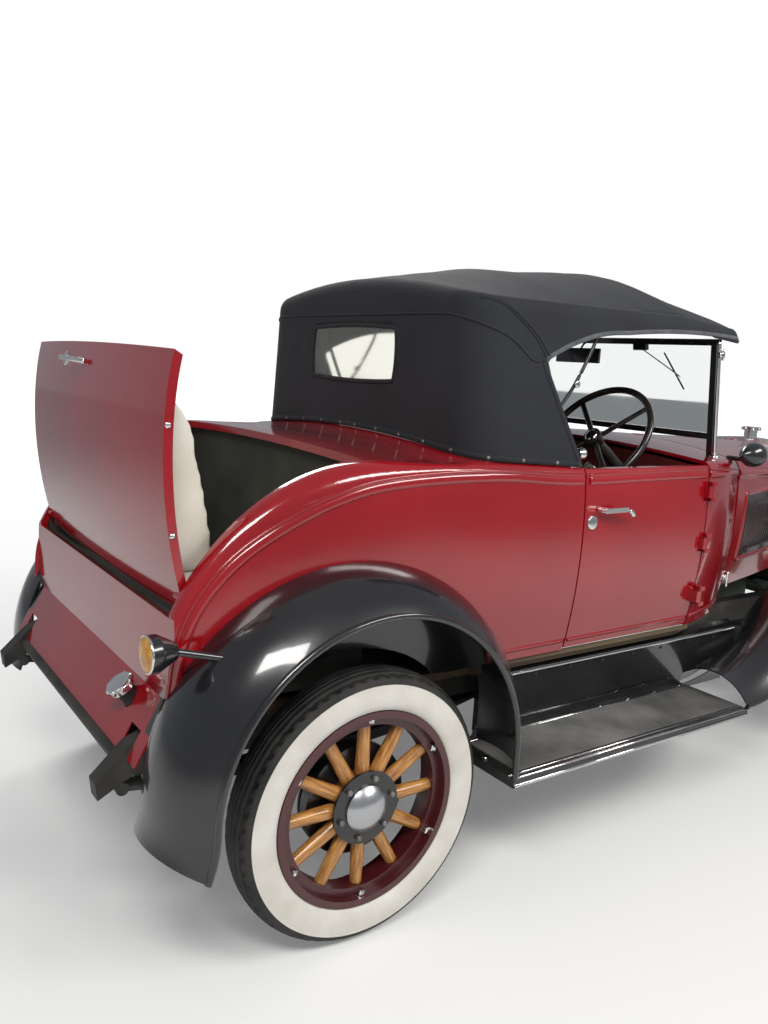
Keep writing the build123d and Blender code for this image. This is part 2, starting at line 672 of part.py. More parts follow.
# Rumble lid: built closed in the tail's shell, then swung open about its lower edge
lid_axis = Axis((LID_HINGE[0], 0, LID_HINGE[1]), (0, -1, 0))
with BuildPart() as lid_closed:
    add(rear_block(sag=LID_SAG))
    add(rear_block(SKIN, 80, LID_SAG), mode=Mode.SUBTRACT)
    with BuildSketch(Plane.XY.offset(LID_LOW_Z)):
        with Locations(((DECK_EDGE_X - MOVE_GAP + TAIL_X - 10) / 2, 0)):
            Rectangle(DECK_EDGE_X - MOVE_GAP - TAIL_X + 10, 2 * LID_HALF)
    extrude(amount=500, mode=Mode.INTERSECT)
    for side in (-1, 1):
        with BuildSketch(Plane.XZ.offset(side * 569.5 - 13.5)):
            with Locations(LID_HINGE):
                Circle(LID_BOSS_R)
        extrude(amount=27)
        with BuildSketch(Plane.XZ.offset(side * 569.5 - 13.5)):
            with Locations(LID_HINGE):
                Circle(LID_PIN_R + CLEAR)
        extrude(amount=27, mode=Mode.SUBTRACT)
with BuildPart() as rumble_lid:
    add(lid_closed.part.rotate(lid_axis, LID_OPEN_DEG))
save(rumble_lid, "rumble_lid")

# Seat back on the lid's inner face
PAD_HALF = 530
pad_room = rear_block(SKIN + CLEAR, 0, LID_SAG).rotate(lid_axis, LID_OPEN_DEG)
with BuildPart() as rumble_back:
    with BuildSketch(Plane.XZ.offset(-PAD_HALF)):
        with BuildLine():
            Line((-1900, 965), (-1695, 965))
            ThreePointArc((-1695, 965), (-1674, 975), (-1667, 1000))
            ThreePointArc((-1667, 1000), (-1690, 1128), (-1722, 1256))
            ThreePointArc((-1722, 1256), (-1748, 1346), (-1798, 1402))
            Line((-1798, 1402), (-1900, 1402))
            Line((-1900, 1402), (-1900, 965))
        make_face()
    extrude(amount=2 * PAD_HALF)
    add(pad_room, mode=Mode.INTERSECT)
save(rumble_back, "rumble_back")

# Lining of the rumble well, hung under the opening's edges
WELL_T = 8
WELL_OUT = LID_HALF + MOVE_GAP + WELL_T
well_room = rear_block(SKIN + CLEAR)
with BuildPart() as rumble_well:
    with BuildSketch(Plane.XY.offset(WELL_FLOOR - WELL_T)):
        with Locations(((WELL_FRONT_X + TAIL_X + 26) / 2, 0)):
            Rectangle(WELL_FRONT_X - TAIL_X - 26, 2 * WELL_OUT)
    extrude(amount=700)
    with BuildSketch(Plane.XY.offset(WELL_FLOOR)):
        with Locations(((WELL_FRONT_X + TAIL_X + 26) / 2, 0)):
            Rectangle(WELL_FRONT_X - TAIL_X - 26 - 2 * WELL_T, 2 * WELL_OUT - 2 * WELL_T)
    extrude(amount=700, mode=Mode.SUBTRACT)
    add(well_room, mode=Mode.INTERSECT)
    add(lid_swing.part, mode=Mode.SUBTRACT)
    with BuildSketch(Plane.XZ.offset(-700)):
        with Locations(LID_HINGE):
            Circle(LID_PIN_R + CLEAR)
    extrude(amount=1400, mode=Mode.SUBTRACT)
save(rumble_well, "rumble_well")

# Rumble seat cushion on the well's floor
with BuildPart() as rumble_cushion:
    with BuildSketch(Plane.XZ.offset(-PAD_HALF)):
        with BuildLine():
            Polyline(
                (-1760, WELL_FLOOR + CLEAR), (-1330, WELL_FLOOR + CLEAR), (-1330, 800), (-1400, 815),
                (-1700, 770), (-1760, 740), close=True,
            )
        make_face()
    extrude(amount=2 * PAD_HALF)
save(rumble_cushion, "rumble_cushion")

# Floor boards and sills
with BuildPart() as floor:
    with BuildSketch(Plane.XY.offset(FLOOR_BOTTOM)):
        with BuildLine():
            Polyline(
                (-880, 606), (DOOR_FRONT_X, 606), (COWL_FRONT_X, 500), (COWL_FRONT_X, -500),
                (DOOR_FRONT_X, -606), (-880, -606), close=True,
            )
        make_face()
    extrude(amount=FLOOR_TOP - FLOOR_BOTTOM)
    with BuildSketch(Plane.XY.offset(FLOOR_BOTTOM)):
        with Locations(((-880 + TAIL_X + 60) / 2, 0)):
            Rectangle(-880 - TAIL_X - 60, 1180)
    extrude(amount=FLOOR_TOP - FLOOR_BOTTOM)
    with BuildSketch(Plane.XY.offset(FLOOR_TOP)):
        for side in (-1, 1):
            with Locations(((DOOR_REAR_X + DOOR_FRONT_X) / 2 - 100, side * 608)):
                Rectangle(DOOR_FRONT_X - DOOR_REAR_X + 260, 44)
    extrude(amount=BODY_BOTTOM - CLEAR - FLOOR_TOP)
    with BuildSketch(Plane.XY.offset(FLOOR_TOP)):
        with Locations((-1540, 0)):
            Rectangle(420, 1000)
    extrude(amount=WELL_FLOOR - WELL_T - CLEAR - FLOOR_TOP)
save(floor, "floor")

# Cowl with its firewall, open to the rear and below
COWL_T = 12
cowl_outer = body_block(COWL_STATIONS)
cowl_hollow = [
    (row[0] - (30 if row is COWL_STATIONS[0] else 0) - (10 if row is COWL_STATIONS[-1] else 0), *row[1:])
    for row in COWL_STATIONS
]
HINGE_HEIGHTS = (760, 950, 1130)
rod_rear = Vector(COWL_FRONT_X, 0, HOOD_STATIONS[0][8] - HOOD_ROD_R)
rod_front = Vector(HOOD_FRONT_X, 0, HOOD_STATIONS[2][8] - HOOD_ROD_R)
rod_plane = Plane(origin=rod_rear - (rod_front - rod_rear).normalized() * COWL_T, z_dir=rod_front - rod_rear)
with BuildPart() as cowl:
    add(cowl_outer)
    add(body_block(cowl_hollow, COWL_T, 50), mode=Mode.SUBTRACT)
    for side in (-1, 1):
        for height in HINGE_HEIGHTS:
            with BuildSketch(Plane.XY.offset(height - 34)):
                with Locations((DOOR_HINGE_X + 3, side * DOOR_HINGE_Y)):
                    Circle(HINGE_PIN_R)
            extrude(amount=68)
            for start in (-34, 20):
                with BuildSketch(Plane.XY.offset(height + start)):
                    with Locations((DOOR_HINGE_X + 3, side * DOOR_HINGE_Y)):
                        Circle(HINGE_BARREL_R)
                    with Locations((DOOR_HINGE_X + 14, side * (DOOR_HINGE_Y - 18))):
                        Rectangle(16, 46)
                extrude(amount=14)
    with BuildSketch(rod_plane):
        Circle(HOOD_ROD_R)
    extrude(amount=(rod_front - rod_rear).length + MOVE_GAP + COWL_T - CLEAR)
save(cowl, "cowl")

# Doors, hinged at their front edges
door_outer = body_block(DOOR_STATIONS)
door_hollow = [
    (row[0] + (-5 if row is DOOR_STATIONS[0] else 5), *row[1:]) for row in DOOR_STATIONS
]
door_inner = body_block(door_hollow, DOOR_T, 50)
for name, side in (("door_right", -1), ("door_left", 1)):
    with BuildPart() as door:
        add(door_outer)
        add(door_inner, mode=Mode.SUBTRACT)
        with BuildSketch(Plane.XY.offset(DOOR_BOTTOM)):
            with Locations(((DOOR_REAR_X + DOOR_FRONT_X) / 2, side * (668 - DOOR_T + 750) / 2)):
                Rectangle(DOOR_FRONT_X - DOOR_REAR_X, 750 - 668 + DOOR_T)
        extrude(amount=1218 - DOOR_BOTTOM, mode=Mode.INTERSECT)
        for height in HINGE_HEIGHTS:
            with BuildSketch(Plane.XY.offset(height - 19.7)):
                with Locations((DOOR_HINGE_X + 3, side * DOOR_HINGE_Y)):
                    Circle(HINGE_BARREL_R)
                with Locations((DOOR_HINGE_X - 9, side * (DOOR_HINGE_Y - 18))):
                    Rectangle(18, 44)
                with Locations((DOOR_HINGE_X + 3, side * DOOR_HINGE_Y)):
                    Circle(HINGE_PIN_R + CLEAR, mode=Mode.SUBTRACT)
            extrude(amount=39.4)
        with BuildSketch(Plane.XZ.offset(655 if side < 0 else -655 - 55)):
            with Locations((DOOR_REAR_X + 60, 1095)):
                Circle(9)
        extrude(amount=55)
        with BuildSketch(Plane.XZ.offset(700 if side < 0 else -700 - 12)):
            with Locations((DOOR_REAR_X + 105, 1095)):
                SlotOverall(110, 15)
        extrude(amount=12)
    save(door, name)

# Front seat: cushion on its base and a leaning back
with BuildPart() as front_seat:
    with BuildSketch(Plane.XZ.offset(-580)):
        with BuildLine():
            Polyline(
                (-640, FLOOR_TOP + CLEAR), (-180, FLOOR_TOP + CLEAR), (-150, 900), (-180, 930), (-600, 905),
                (-640, 880), close=True,
            )
        make_face()
    extrude(amount=1160)
    with BuildSketch(Plane.XZ.offset(-580)):
        with BuildLine():
            Polyline(
                (-790, FLOOR_TOP + CLEAR), (-645, FLOOR_TOP + CLEAR), (-645, 900), (-720, 1190), (-790, 1200),
                (-830, 1150), close=True,
            )
        make_face()
    extrude(amount=1160)
save(front_seat, "front_seat")

# Windshield: stanchions, frame and glass
screen_lean = atan2(SCREEN_BASE[0] - SCREEN_TOP[0], SCREEN_TOP[1] - SCREEN_BASE[1])
screen_plane = Plane(
    origin=(SCREEN_BASE[0], 0, SCREEN_BASE[1]), x_dir=(0, 1, 0),
    z_dir=(cos(screen_lean), 0, sin(screen_lean)),
)
screen_h = hypot(SCREEN_BASE[0] - SCREEN_TOP[0], SCREEN_TOP[1] - SCREEN_BASE[1])
cowl_grown = body_block(COWL_STATIONS, -CLEAR)
GLASS_T = 6
with BuildPart() as windshield_frame:
    with BuildSketch(screen_plane.offset(-10)):
        with Locations((0, screen_h / 2 + 38)):
            Rectangle(2 * SCREEN_HALF, screen_h - 76)
            Rectangle(2 * SCREEN_HALF - 44, screen_h - 120, mode=Mode.SUBTRACT)
        with Locations((SCREEN_HALF - 11, screen_h / 2 - 60), (-SCREEN_HALF + 11, screen_h / 2 - 60)):
            Rectangle(22, screen_h + 100)
    extrude(amount=20)
    add(cowl_grown, mode=Mode.SUBTRACT)
save(windshield_frame, "windshield_frame")
with BuildPart() as windshield_glass:
    with BuildSketch(screen_plane.offset(-GLASS_T / 2)):
        with Locations((0, screen_h / 2 + 38)):
            Rectangle(2 * SCREEN_HALF - 44 - 2 * CLEAR, screen_h - 120 - 2 * CLEAR)
    extrude(amount=GLASS_T)
save(windshield_glass, "windshield_glass")

# Hood: two halves hinged on the rod along the centre
hood_outer = body_block(HOOD_STATIONS)
hood_hollow = [
    (row[0] + (-5 if row is HOOD_STATIONS[0] else 5 if row is HOOD_STATIONS[-1] else 0), *row[1:])
    for row in HOOD_STATIONS
]
hood_inner = body_block(hood_hollow, HOOD_T, 60)
rod_section = Plane(origin=rod_rear, x_dir=(0, 1, 0), z_dir=rod_front - rod_rear)
HOOD_LOOP_R = 9.5
HOOD_LOOP_LENGTH = 40
HOOD_HALVES = [
    # name, side, places of the hinge loops along the rod
    ("hood_right", -1, (50, 410, 770)),
    ("hood_left", 1, (100, 460, 720)),
]
for name, side, loop_places in HOOD_HALVES:
    with BuildPart() as hood:
        add(hood_outer)
        add(hood_inner, mode=Mode.SUBTRACT)
        with BuildSketch(Plane.XY.offset(400)):
            with Locations(((HOOD_REAR_X + HOOD_FRONT_X) / 2, side * (500 + HOOD_SPLIT))):
                Rectangle(HOOD_FRONT_X - HOOD_REAR_X, 1000)
        extrude(amount=1200, mode=Mode.INTERSECT)
        for place in loop_places:
            with BuildSketch(rod_section.offset(place)):
                Circle(HOOD_LOOP_R)
                with Locations((side * HOOD_SPLIT, 0.5)):
                    Rectangle(9, 7)
                Circle(HOOD_ROD_R + CLEAR, mode=Mode.SUBTRACT)
            extrude(amount=HOOD_LOOP_LENGTH)
    save(hood, name)

# Radiator shell with its cap, and core
SHELL_ROW = (326, 344, 338, RADIATOR_FOOT_Z, 1156, 296, 1212, 1252)
with BuildPart() as radiator_shell:
    add(body_block([(RADIATOR_X, *SHELL_ROW), (RADIATOR_X + RADIATOR_DEPTH, *SHELL_ROW)]))
    add(body_block([(RADIATOR_X - 5, *SHELL_ROW), (RADIATOR_X + RADIATOR_DEPTH + 5, *SHELL_ROW)], 34, -34),
        mode=Mode.SUBTRACT)
    with BuildSketch(Plane.XY.offset(1240)):
        with Locations((RADIATOR_X + RADIATOR_DEPTH / 2, 0)):
            Circle(30)
    extrude(amount=46)
    with BuildSketch(Plane.XY.offset(1286)):
        with Locations((RADIATOR_X + RADIATOR_DEPTH / 2, 0)):
            Circle(44)
    extrude(amount=16)
save(radiator_shell, "radiator_shell")
with BuildPart() as radiator_core:
    add(body_block(
        [(RADIATOR_X + 15, *SHELL_ROW), (RADIATOR_X + RADIATOR_DEPTH - 25, *SHELL_ROW)], 34 + CLEAR, -35,
    ))
save(radiator_core, "radiator_core")
# Headlamps on posts from the frame rails, tied by a bar
LAMP_X = FRONT_AXLE_X + 80
LAMP_Z = 975
LAMP_R = 125
with BuildPart() as headlamps:
    for side in (-1, 1):
        with BuildSketch(Plane.XY.offset(RAIL_TOP + CLEAR)):
            with Locations((LAMP_X, side * RAIL_FRONT_Y)):
                Circle(14)
        extrude(amount=LAMP_Z - RAIL_TOP - 60)
        with BuildSketch(Plane.XY.offset(LAMP_Z)):
            with BuildLine():
                Line((LAMP_X - 110, side * RAIL_FRONT_Y), (LAMP_X + 70, side * RAIL_FRONT_Y))
                Line((LAMP_X + 70, side * RAIL_FRONT_Y), (LAMP_X + 70, side * RAIL_FRONT_Y + LAMP_R))
                Line((LAMP_X + 70, side * RAIL_FRONT_Y + LAMP_R), (LAMP_X + 50, side * RAIL_FRONT_Y + LAMP_R))
                ThreePointArc(
                    (LAMP_X + 50, side * RAIL_FRONT_Y + LAMP_R),
                    (LAMP_X - 60, side * RAIL_FRONT_Y + LAMP_R * 0.66),
                    (LAMP_X - 110, side * RAIL_FRONT_Y),
                )
            make_face()
        revolve(axis=Axis((LAMP_X, side * RAIL_FRONT_Y, LAMP_Z), (1, 0, 0)))
    with BuildSketch(Plane.XZ.offset(-RAIL_FRONT_Y)):
        with Locations((LAMP_X, LAMP_Z - LAMP_R - 25)):
            Circle(13)
    extrude(amount=2 * RAIL_FRONT_Y)
save(headlamps, "headlamps")

# Cowl lamps on short arms
COWL_LAMP_X = 382
with BuildPart() as cowl_lamps:
    for side in (-1, 1):
        with BuildSketch(Plane.XY.offset(1248)):
            with BuildLine():
                Line((COWL_LAMP_X - 48, side * 620), (COWL_LAMP_X + 40, side * 620))
                Line((COWL_LAMP_X + 40, side * 620), (COWL_LAMP_X + 40, side * 620 + 44))
                ThreePointArc(
                    (COWL_LAMP_X + 40, side * 620 + 44), (COWL_LAMP_X - 20, side * 620 + 33),
                    (COWL_LAMP_X - 48, side * 620),
                )
            make_face()
        revolve(axis=Axis((COWL_LAMP_X, side * 620, 1248), (1, 0, 0)))
        with BuildSketch(Plane.XZ.offset(530 if side < 0 else -620)):
            with Locations((COWL_LAMP_X, 1228)):
                Circle(9)
        extrude(amount=90)
    add(cowl_grown, mode=Mode.SUBTRACT)
save(cowl_lamps, "cowl_lamps")


# Steering column and wheel, on the right-hand side
STEER_HUB = Vector(-158, -350, 1278)
STEER_SLOPE = 35
STEER_RIM_R = 215
column_dir = Vector(cos(radians(STEER_SLOPE)), 0, -sin(radians(STEER_SLOPE)))
column_plane = Plane(origin=STEER_HUB, x_dir=(0, 1, 0), z_dir=column_dir)
column_length = (COWL_FRONT_X - 10 - STEER_HUB.X) / column_dir.X
with BuildPart() as steering_column:
    with BuildSketch(column_plane.offset(14)):
        Circle(20)
    extrude(amount=column_length)
    with BuildSketch(Plane.YZ.offset(COWL_FRONT_X - 10 - CLEAR)):
        Rectangle(3000, 3000)
    extrude(amount=400, mode=Mode.SUBTRACT)
save(steering_column, "steering_column")
with BuildPart() as steering_wheel:
    with BuildSketch(column_plane.offset(-20)):
        Circle(34)
    extrude(amount=20 + 14 - CLEAR)
    with BuildSketch(Plane(origin=STEER_HUB, x_dir=(0, 1, 0), z_dir=column_dir.cross(Vector(0, 1, 0)))):
        with Locations((STEER_RIM_R, 0)):
            Circle(12)
    revolve(axis=Axis(STEER_HUB, column_dir))
    for number in range(4):
        turn = radians(45 + 90 * number)
        arm = Vector(0, 1, 0) * cos(turn) + column_dir.cross(Vector(0, 1, 0)) * sin(turn)
        with BuildSketch(Plane(origin=STEER_HUB + arm * 20, x_dir=column_dir, z_dir=arm)):
            Ellipse(7, 10)
        extrude(amount=STEER_RIM_R - 24)
save(steering_wheel, "steering_wheel")

# Dashboard closing the cowl below its rear edge, bored for the column
with BuildPart() as dashboard:
    add(body_block(
        [(DOOR_FRONT_X + 16, *COWL_STATIONS[0][1:]), (DOOR_FRONT_X + 30, *COWL_STATIONS[0][1:])],
        COWL_T + 12, 0,
    ))
    with BuildSketch(Plane.XY.offset(980)):
        Rectangle(3000, 2 * 640.5)
    extrude(amount=500, mode=Mode.INTERSECT)
    with BuildSketch(column_plane):
        Circle(20 + CLEAR)
    extrude(amount=500, mode=Mode.SUBTRACT)
save(dashboard, "dashboard")


def fender_face(plane, in_y, in_r, in_shift, crown_y, crown_r, out_y, grow=0, filled=False):
    """A fender's section: plane x is outwards, plane y is away from the wheel."""
    top = ((in_y, in_r + grow), (crown_y, crown_r + grow), (out_y + grow, 0))
    low = ((out_y - FENDER_T, 0), (crown_y, crown_r - FENDER_T), (in_y + in_shift[0], in_r + in_shift[1]))
    with BuildSketch(plane) as face:
        with BuildLine():
            ThreePointArc(*top)
            if filled:
                Line(top[2], top[0])
            else:
                Line(top[2], low[0])
                ThreePointArc(*low)
                Line(low[2], top[0])
        make_face()
        if not filled:
            with Locations((out_y - 2, 0)):
                Circle(BEAD_ROLL_R)
    return face.sketch


def section_plane(x, z, away_x, away_z):
    """A fender's section plane: its x is outwards on the right-hand side, its y points away from the wheel."""
    return Plane(origin=(x, 0, z), x_dir=(0, -1, 0), z_dir=(-away_z, 0, away_x))


REAR_SECTION = dict(in_y=586, in_r=84, in_shift=(0, -FENDER_T - 1), crown_y=725, crown_r=86, out_y=FENDER_OUT_Y)
FRONT_SECTION = dict(
    in_y=FRONT_FENDER_IN_Y, in_r=FRONT_FENDER_IN_R, in_shift=(FENDER_T + 2, 0), crown_y=690, crown_r=84,
    out_y=FENDER_OUT_Y,
)


def rear_fender_solid(**extra):
    """The right-hand rear fender: straight foot, arch and flared tail."""
    arch_axis = Axis((REAR_ARCH_X, 0, REAR_ARCH_Z), (0, -1, 0))
    bend_axis = Axis((REAR_ARCH_X - ARCH_R - REAR_TAIL_BEND_R, 0, REAR_ARCH_Z), (0, 1, 0))
    with BuildPart() as fender:
        add(fender_face(section_plane(REAR_ARCH_X + ARCH_R, REAR_ARCH_Z, 1, 0), **REAR_SECTION, **extra))
        extrude(amount=REAR_ARCH_Z - BOARD_TOP - CLEAR, dir=(0, 0, -1))
        add(fender_face(section_plane(REAR_ARCH_X + ARCH_R, REAR_ARCH_Z, 1, 0), **REAR_SECTION, **extra))
        revolve(axis=arch_axis, revolution_arc=180)
        add(fender_face(section_plane(REAR_ARCH_X - ARCH_R, REAR_ARCH_Z, -1, 0), **REAR_SECTION, **extra))
        revolve(axis=bend_axis, revolution_arc=REAR_TAIL_BEND_DEG)
    return fender.part


def front_fender_solid(**extra):
    """The right-hand front fender: nose arch, long falling sweep and a tail that levels out."""
    top_z = FRONT_ARCH_Z + ARCH_R
    run = FRONT_ARCH_X - FRONT_TAIL_X
    fall = top_z - FRONT_TAIL_Z
    slope = 2 * atan2(fall, run)
    sweep_r = run * (1 - FRONT_TAIL_SHARE) / sin(slope)
    tail_r = run * FRONT_TAIL_SHARE / sin(slope)
    join_x = FRONT_TAIL_X + run * FRONT_TAIL_SHARE
    join_z = FRONT_TAIL_Z + fall * FRONT_TAIL_SHARE
    tail_centre = (join_x - tail_r * sin(slope), 0, join_z + tail_r * cos(slope))
    with BuildPart() as fender:
        add(fender_face(section_plane(FRONT_ARCH_X, top_z, 0, 1), **FRONT_SECTION, **extra))
        revolve(axis=Axis((FRONT_ARCH_X, 0, FRONT_ARCH_Z), (0, 1, 0)), revolution_arc=FRONT_NOSE_DEG)
        add(fender_face(section_plane(FRONT_ARCH_X, top_z, 0, 1), **FRONT_SECTION, **extra))
        revolve(axis=Axis((FRONT_ARCH_X, 0, top_z - sweep_r), (0, -1, 0)), revolution_arc=degrees(slope))
        add(fender_face(section_plane(join_x, join_z, -sin(slope), cos(slope)), **FRONT_SECTION, **extra))
        revolve(axis=Axis(tail_centre, (0, 1, 0)), revolution_arc=degrees(slope))
    return fender.part


# Rear fenders, closed against the body's sides
with BuildPart() as rear_fender:
    add(rear_fender_solid())
    add(rear_block(grow=CLEAR), mode=Mode.SUBTRACT)
save(both_sides(rear_fender.part), "rear_fenders")

# Front fenders
front_fender = front_fender_solid()
save(both_sides(front_fender), "front_fenders")

# Running boards between the fenders
with BuildPart() as running_board:
    with BuildSketch(Plane.XY.offset(BOARD_TOP - BOARD_T)):
        with Locations(((BOARD_REAR_X + FRONT_TAIL_X - CLEAR) / 2, -(BOARD_IN_Y + FENDER_OUT_Y) / 2)):
            Rectangle(FRONT_TAIL_X - CLEAR - BOARD_REAR_X, FENDER_OUT_Y - BOARD_IN_Y)
    extrude(amount=BOARD_T)
save(both_sides(running_board.part), "running_boards")

# Splash aprons between the boards and the body's sills
APRON_TOP_Y = 618
with BuildPart() as splash_apron:
    with BuildSketch(Plane.YZ.offset(-812)):
        with BuildLine():
            Polyline(
                (-BOARD_IN_Y + CLEAR, BOARD_TOP - BOARD_T), (-BOARD_IN_Y + CLEAR, BOARD_TOP),
                (-APRON_TOP_Y + 12, APRON_TOP - 14), (-APRON_TOP_Y, APRON_TOP - 8), (-APRON_TOP_Y, APRON_TOP),
                (-RAIL_REAR_Y - 65, APRON_TOP), (-RAIL_REAR_Y - 65, RAIL_TOP),
                (-RAIL_REAR_Y - 60, RAIL_TOP), (-RAIL_REAR_Y - 60, APRON_TOP - 5),
                (-APRON_TOP_Y + 17, APRON_TOP - 8),
                (-BOARD_IN_Y + CLEAR + 5, BOARD_TOP), (-BOARD_IN_Y + CLEAR + 5, BOARD_TOP - BOARD_T),
                close=True,
            )
        make_face()
    extrude(amount=475 + 812)
    add(front_fender_solid(grow=CLEAR, filled=True), mode=Mode.SUBTRACT)
    for arm_x in (-690, 20):
        with BuildSketch(Plane.YZ.offset(arm_x - 20 - CLEAR)):
            with Locations((-BOARD_IN_Y, arm_top - 15)):
                Rectangle(60, 32)
        extrude(amount=40 + 2 * CLEAR, mode=Mode.SUBTRACT)
save(both_sides(splash_apron.part), "splash_aprons")


def canvas_section(row, inset=0, low_extra=0):
    """One section across the top, or a line inside it."""
    low_y, side_y, side_z, top_z = row[1:]
    low = (low_y - inset, CANVAS_LOW - low_extra)
    side = (side_y - inset, side_z - 40)
    shoulder = (side_y - 38 - inset * 0.6, side_z + 8 - inset)
    turn = (side_y - 10 - inset * 0.8, side_z - 6 - inset * 0.6)
    with BuildSketch(Plane.YZ.offset(row[0])) as section:
        with BuildLine():
            Line(low, side)
            ThreePointArc(side, turn, shoulder)
            ThreePointArc(shoulder, (0, top_z - inset), (-shoulder[0], shoulder[1]))
            ThreePointArc((-shoulder[0], shoulder[1]), (-turn[0], turn[1]), (-side[0], side[1]))
            Line((-side[0], side[1]), (-low[0], low[1]))
            Line((-low[0], low[1]), low)
        make_face()
    return section.sketch


def canvas_block(stations, inset=0, low_extra=0):
    """The top's outer form, or a form inside it, stretched straight from bow to bow."""
    with BuildPart() as block:
        for row in stations:
            add(canvas_section(row, inset, low_extra))
        loft(ruled=True)
    return block.part


def corner_plan(back_x, corner_r):
    """The top's plan behind its first bow, with both rear corners rounded."""
    middle_x = CORNER_PLAN_X + CANVAS_CORNER_R
    reach = CANVAS_CORNER_Y + corner_r
    off = corner_r * sqrt(0.5)
    with BuildPart() as plan:
        with BuildSketch(Plane.XY.offset(CANVAS_LOW - 100)):
            with BuildLine():
                Line((back_x, -CANVAS_CORNER_Y), (back_x, CANVAS_CORNER_Y))
                ThreePointArc(
                    (back_x, CANVAS_CORNER_Y), (middle_x - off, CANVAS_CORNER_Y + off), (middle_x, reach),
                )
                Polyline(
                    (middle_x, reach), (middle_x, 900), (CANVAS_FRONT_X + 100, 900),
                    (CANVAS_FRONT_X + 100, -900), (middle_x, -900), (middle_x, -reach),
                )
                ThreePointArc(
                    (middle_x, -reach), (middle_x - off, -CANVAS_CORNER_Y - off), (back_x, -CANVAS_CORNER_Y),
                )
            make_face()
        extrude(amount=1000)
    return plan.part


def row_at(stations, x):
    """The section's measures at any place between two stations."""
    for near, far in zip(stations, stations[1:]):
        if near[0] <= x <= far[0]:
            share = (x - near[0]) / (far[0] - near[0])
            return tuple(a + (b - a) * share for a, b in zip(near, far))


# Canvas top: one sheet over the bows, open at the sides, with a rear window
CANVAS_LOW = 1214
CANVAS_CORNER_R = 132
CORNER_PLAN_X = CANVAS_REAR_X - 2
CANVAS_CORNER_Y = 516.5
CANVAS_STATIONS = [
    # x, half width at the hem and at the shoulder, shoulder z, centre z
    (CANVAS_REAR_X, 640, 602, 1698, 1760),
    (-560, 660, 618, 1700, 1838),
    (-60, 656, 616, 1706, 1876),
    (CANVAS_FRONT_X, 640, 606, 1684, 1806),
]
hollow_stations = [
    (row[0] + (CANVAS_T if row is CANVAS_STATIONS[0] else 20 if row is CANVAS_STATIONS[-1] else 0), *row[1:])
    for row in CANVAS_STATIONS
]
WINDOW_W = 503
WINDOW_LOW = 1437
WINDOW_HIGH = 1615
WINDOW_CORNER = 35
QUARTER_FOOT = (-548, 1228)
QUARTER_HEAD = (-705, 1529)
rear_grown = rear_block(grow=2 * CLEAR)
with BuildPart() as canvas_hollow:
    add(canvas_block(hollow_stations, CANVAS_T, 30))
    add(corner_plan(CORNER_PLAN_X + CANVAS_T, CANVAS_CORNER_R - CANVAS_T), mode=Mode.INTERSECT)
with BuildPart() as canvas_top:
    add(canvas_block(CANVAS_STATIONS))
    add(corner_plan(CORNER_PLAN_X, CANVAS_CORNER_R), mode=Mode.INTERSECT)
    add(canvas_hollow.part, mode=Mode.SUBTRACT)
    with BuildSketch(Plane.XZ.offset(-800)):
        with BuildLine():
            Line((QUARTER_FOOT[0], 1000), QUARTER_FOOT)
            Line(QUARTER_FOOT, QUARTER_HEAD)
            ThreePointArc(QUARTER_HEAD, (-565, 1592), (-365, 1628))
            ThreePointArc((-365, 1628), (-60, 1652), (CANVAS_FRONT_X + 60, 1648))
            Line((CANVAS_FRONT_X + 60, 1648), (CANVAS_FRONT_X + 60, 1000))
            Line((CANVAS_FRONT_X + 60, 1000), (QUARTER_FOOT[0], 1000))
        make_face()
    extrude(amount=1600, mode=Mode.SUBTRACT)
    with BuildSketch(Plane.YZ.offset(CANVAS_REAR_X - 5)):
        with Locations((0, (WINDOW_LOW + WINDOW_HIGH) / 2)):
            RectangleRounded(WINDOW_W, WINDOW_HIGH - WINDOW_LOW, WINDOW_CORNER)
    extrude(amount=30, mode=Mode.SUBTRACT)
    add(rear_grown, mode=Mode.SUBTRACT)
save(canvas_top, "canvas_top")
with BuildPart() as rear_window:
    with BuildSketch(Plane.YZ.offset(CANVAS_REAR_X + 3)):
        with Locations((0, (WINDOW_LOW + WINDOW_HIGH) / 2)):
            RectangleRounded(WINDOW_W - 2 * CLEAR, WINDOW_HIGH - WINDOW_LOW - 2 * CLEAR, WINDOW_CORNER - CLEAR)
    extrude(amount=2)
save(rear_window, "rear_window")

# Bows under the canvas, the two rear ones with legs down to the body
BOW_DEPTH = 24
BOW_W = 28
BOWS = [
    # x, foot z, room under the canvas
    (-845, 1200, 3.2),
    (-727, 1200, 3.2),
    (-180, 1722, 1.5),
    (210, 1698, 3.5),
]


def bow_solid(bow_x, foot_z, room):
    """One bent bow under the canvas."""
    bow_row = (bow_x - BOW_W / 2, *row_at(hollow_stations, bow_x)[1:])
    with BuildPart() as bow:
        add(canvas_section(bow_row, CANVAS_T + room, 30))
        extrude(amount=BOW_W, dir=(1, 0, 0))
        add(canvas_section(bow_row, CANVAS_T + BOW_DEPTH, 60))
        extrude(amount=BOW_W, dir=(1, 0, 0), mode=Mode.SUBTRACT)
        with BuildSketch(Plane.XY.offset(CANVAS_LOW - 100)):
            with Locations((bow_x, 0)):
                Rectangle(2 * BOW_W, 3000)
        extrude(amount=foot_z - CANVAS_LOW + 100, mode=Mode.SUBTRACT)
    return bow.part


with BuildPart() as top_bows:
    for bow_x, foot_z, room in BOWS:
        add(bow_solid(bow_x, foot_z, room))
    add(rear_grown, mode=Mode.SUBTRACT)
save(top_bows, "top_bows")

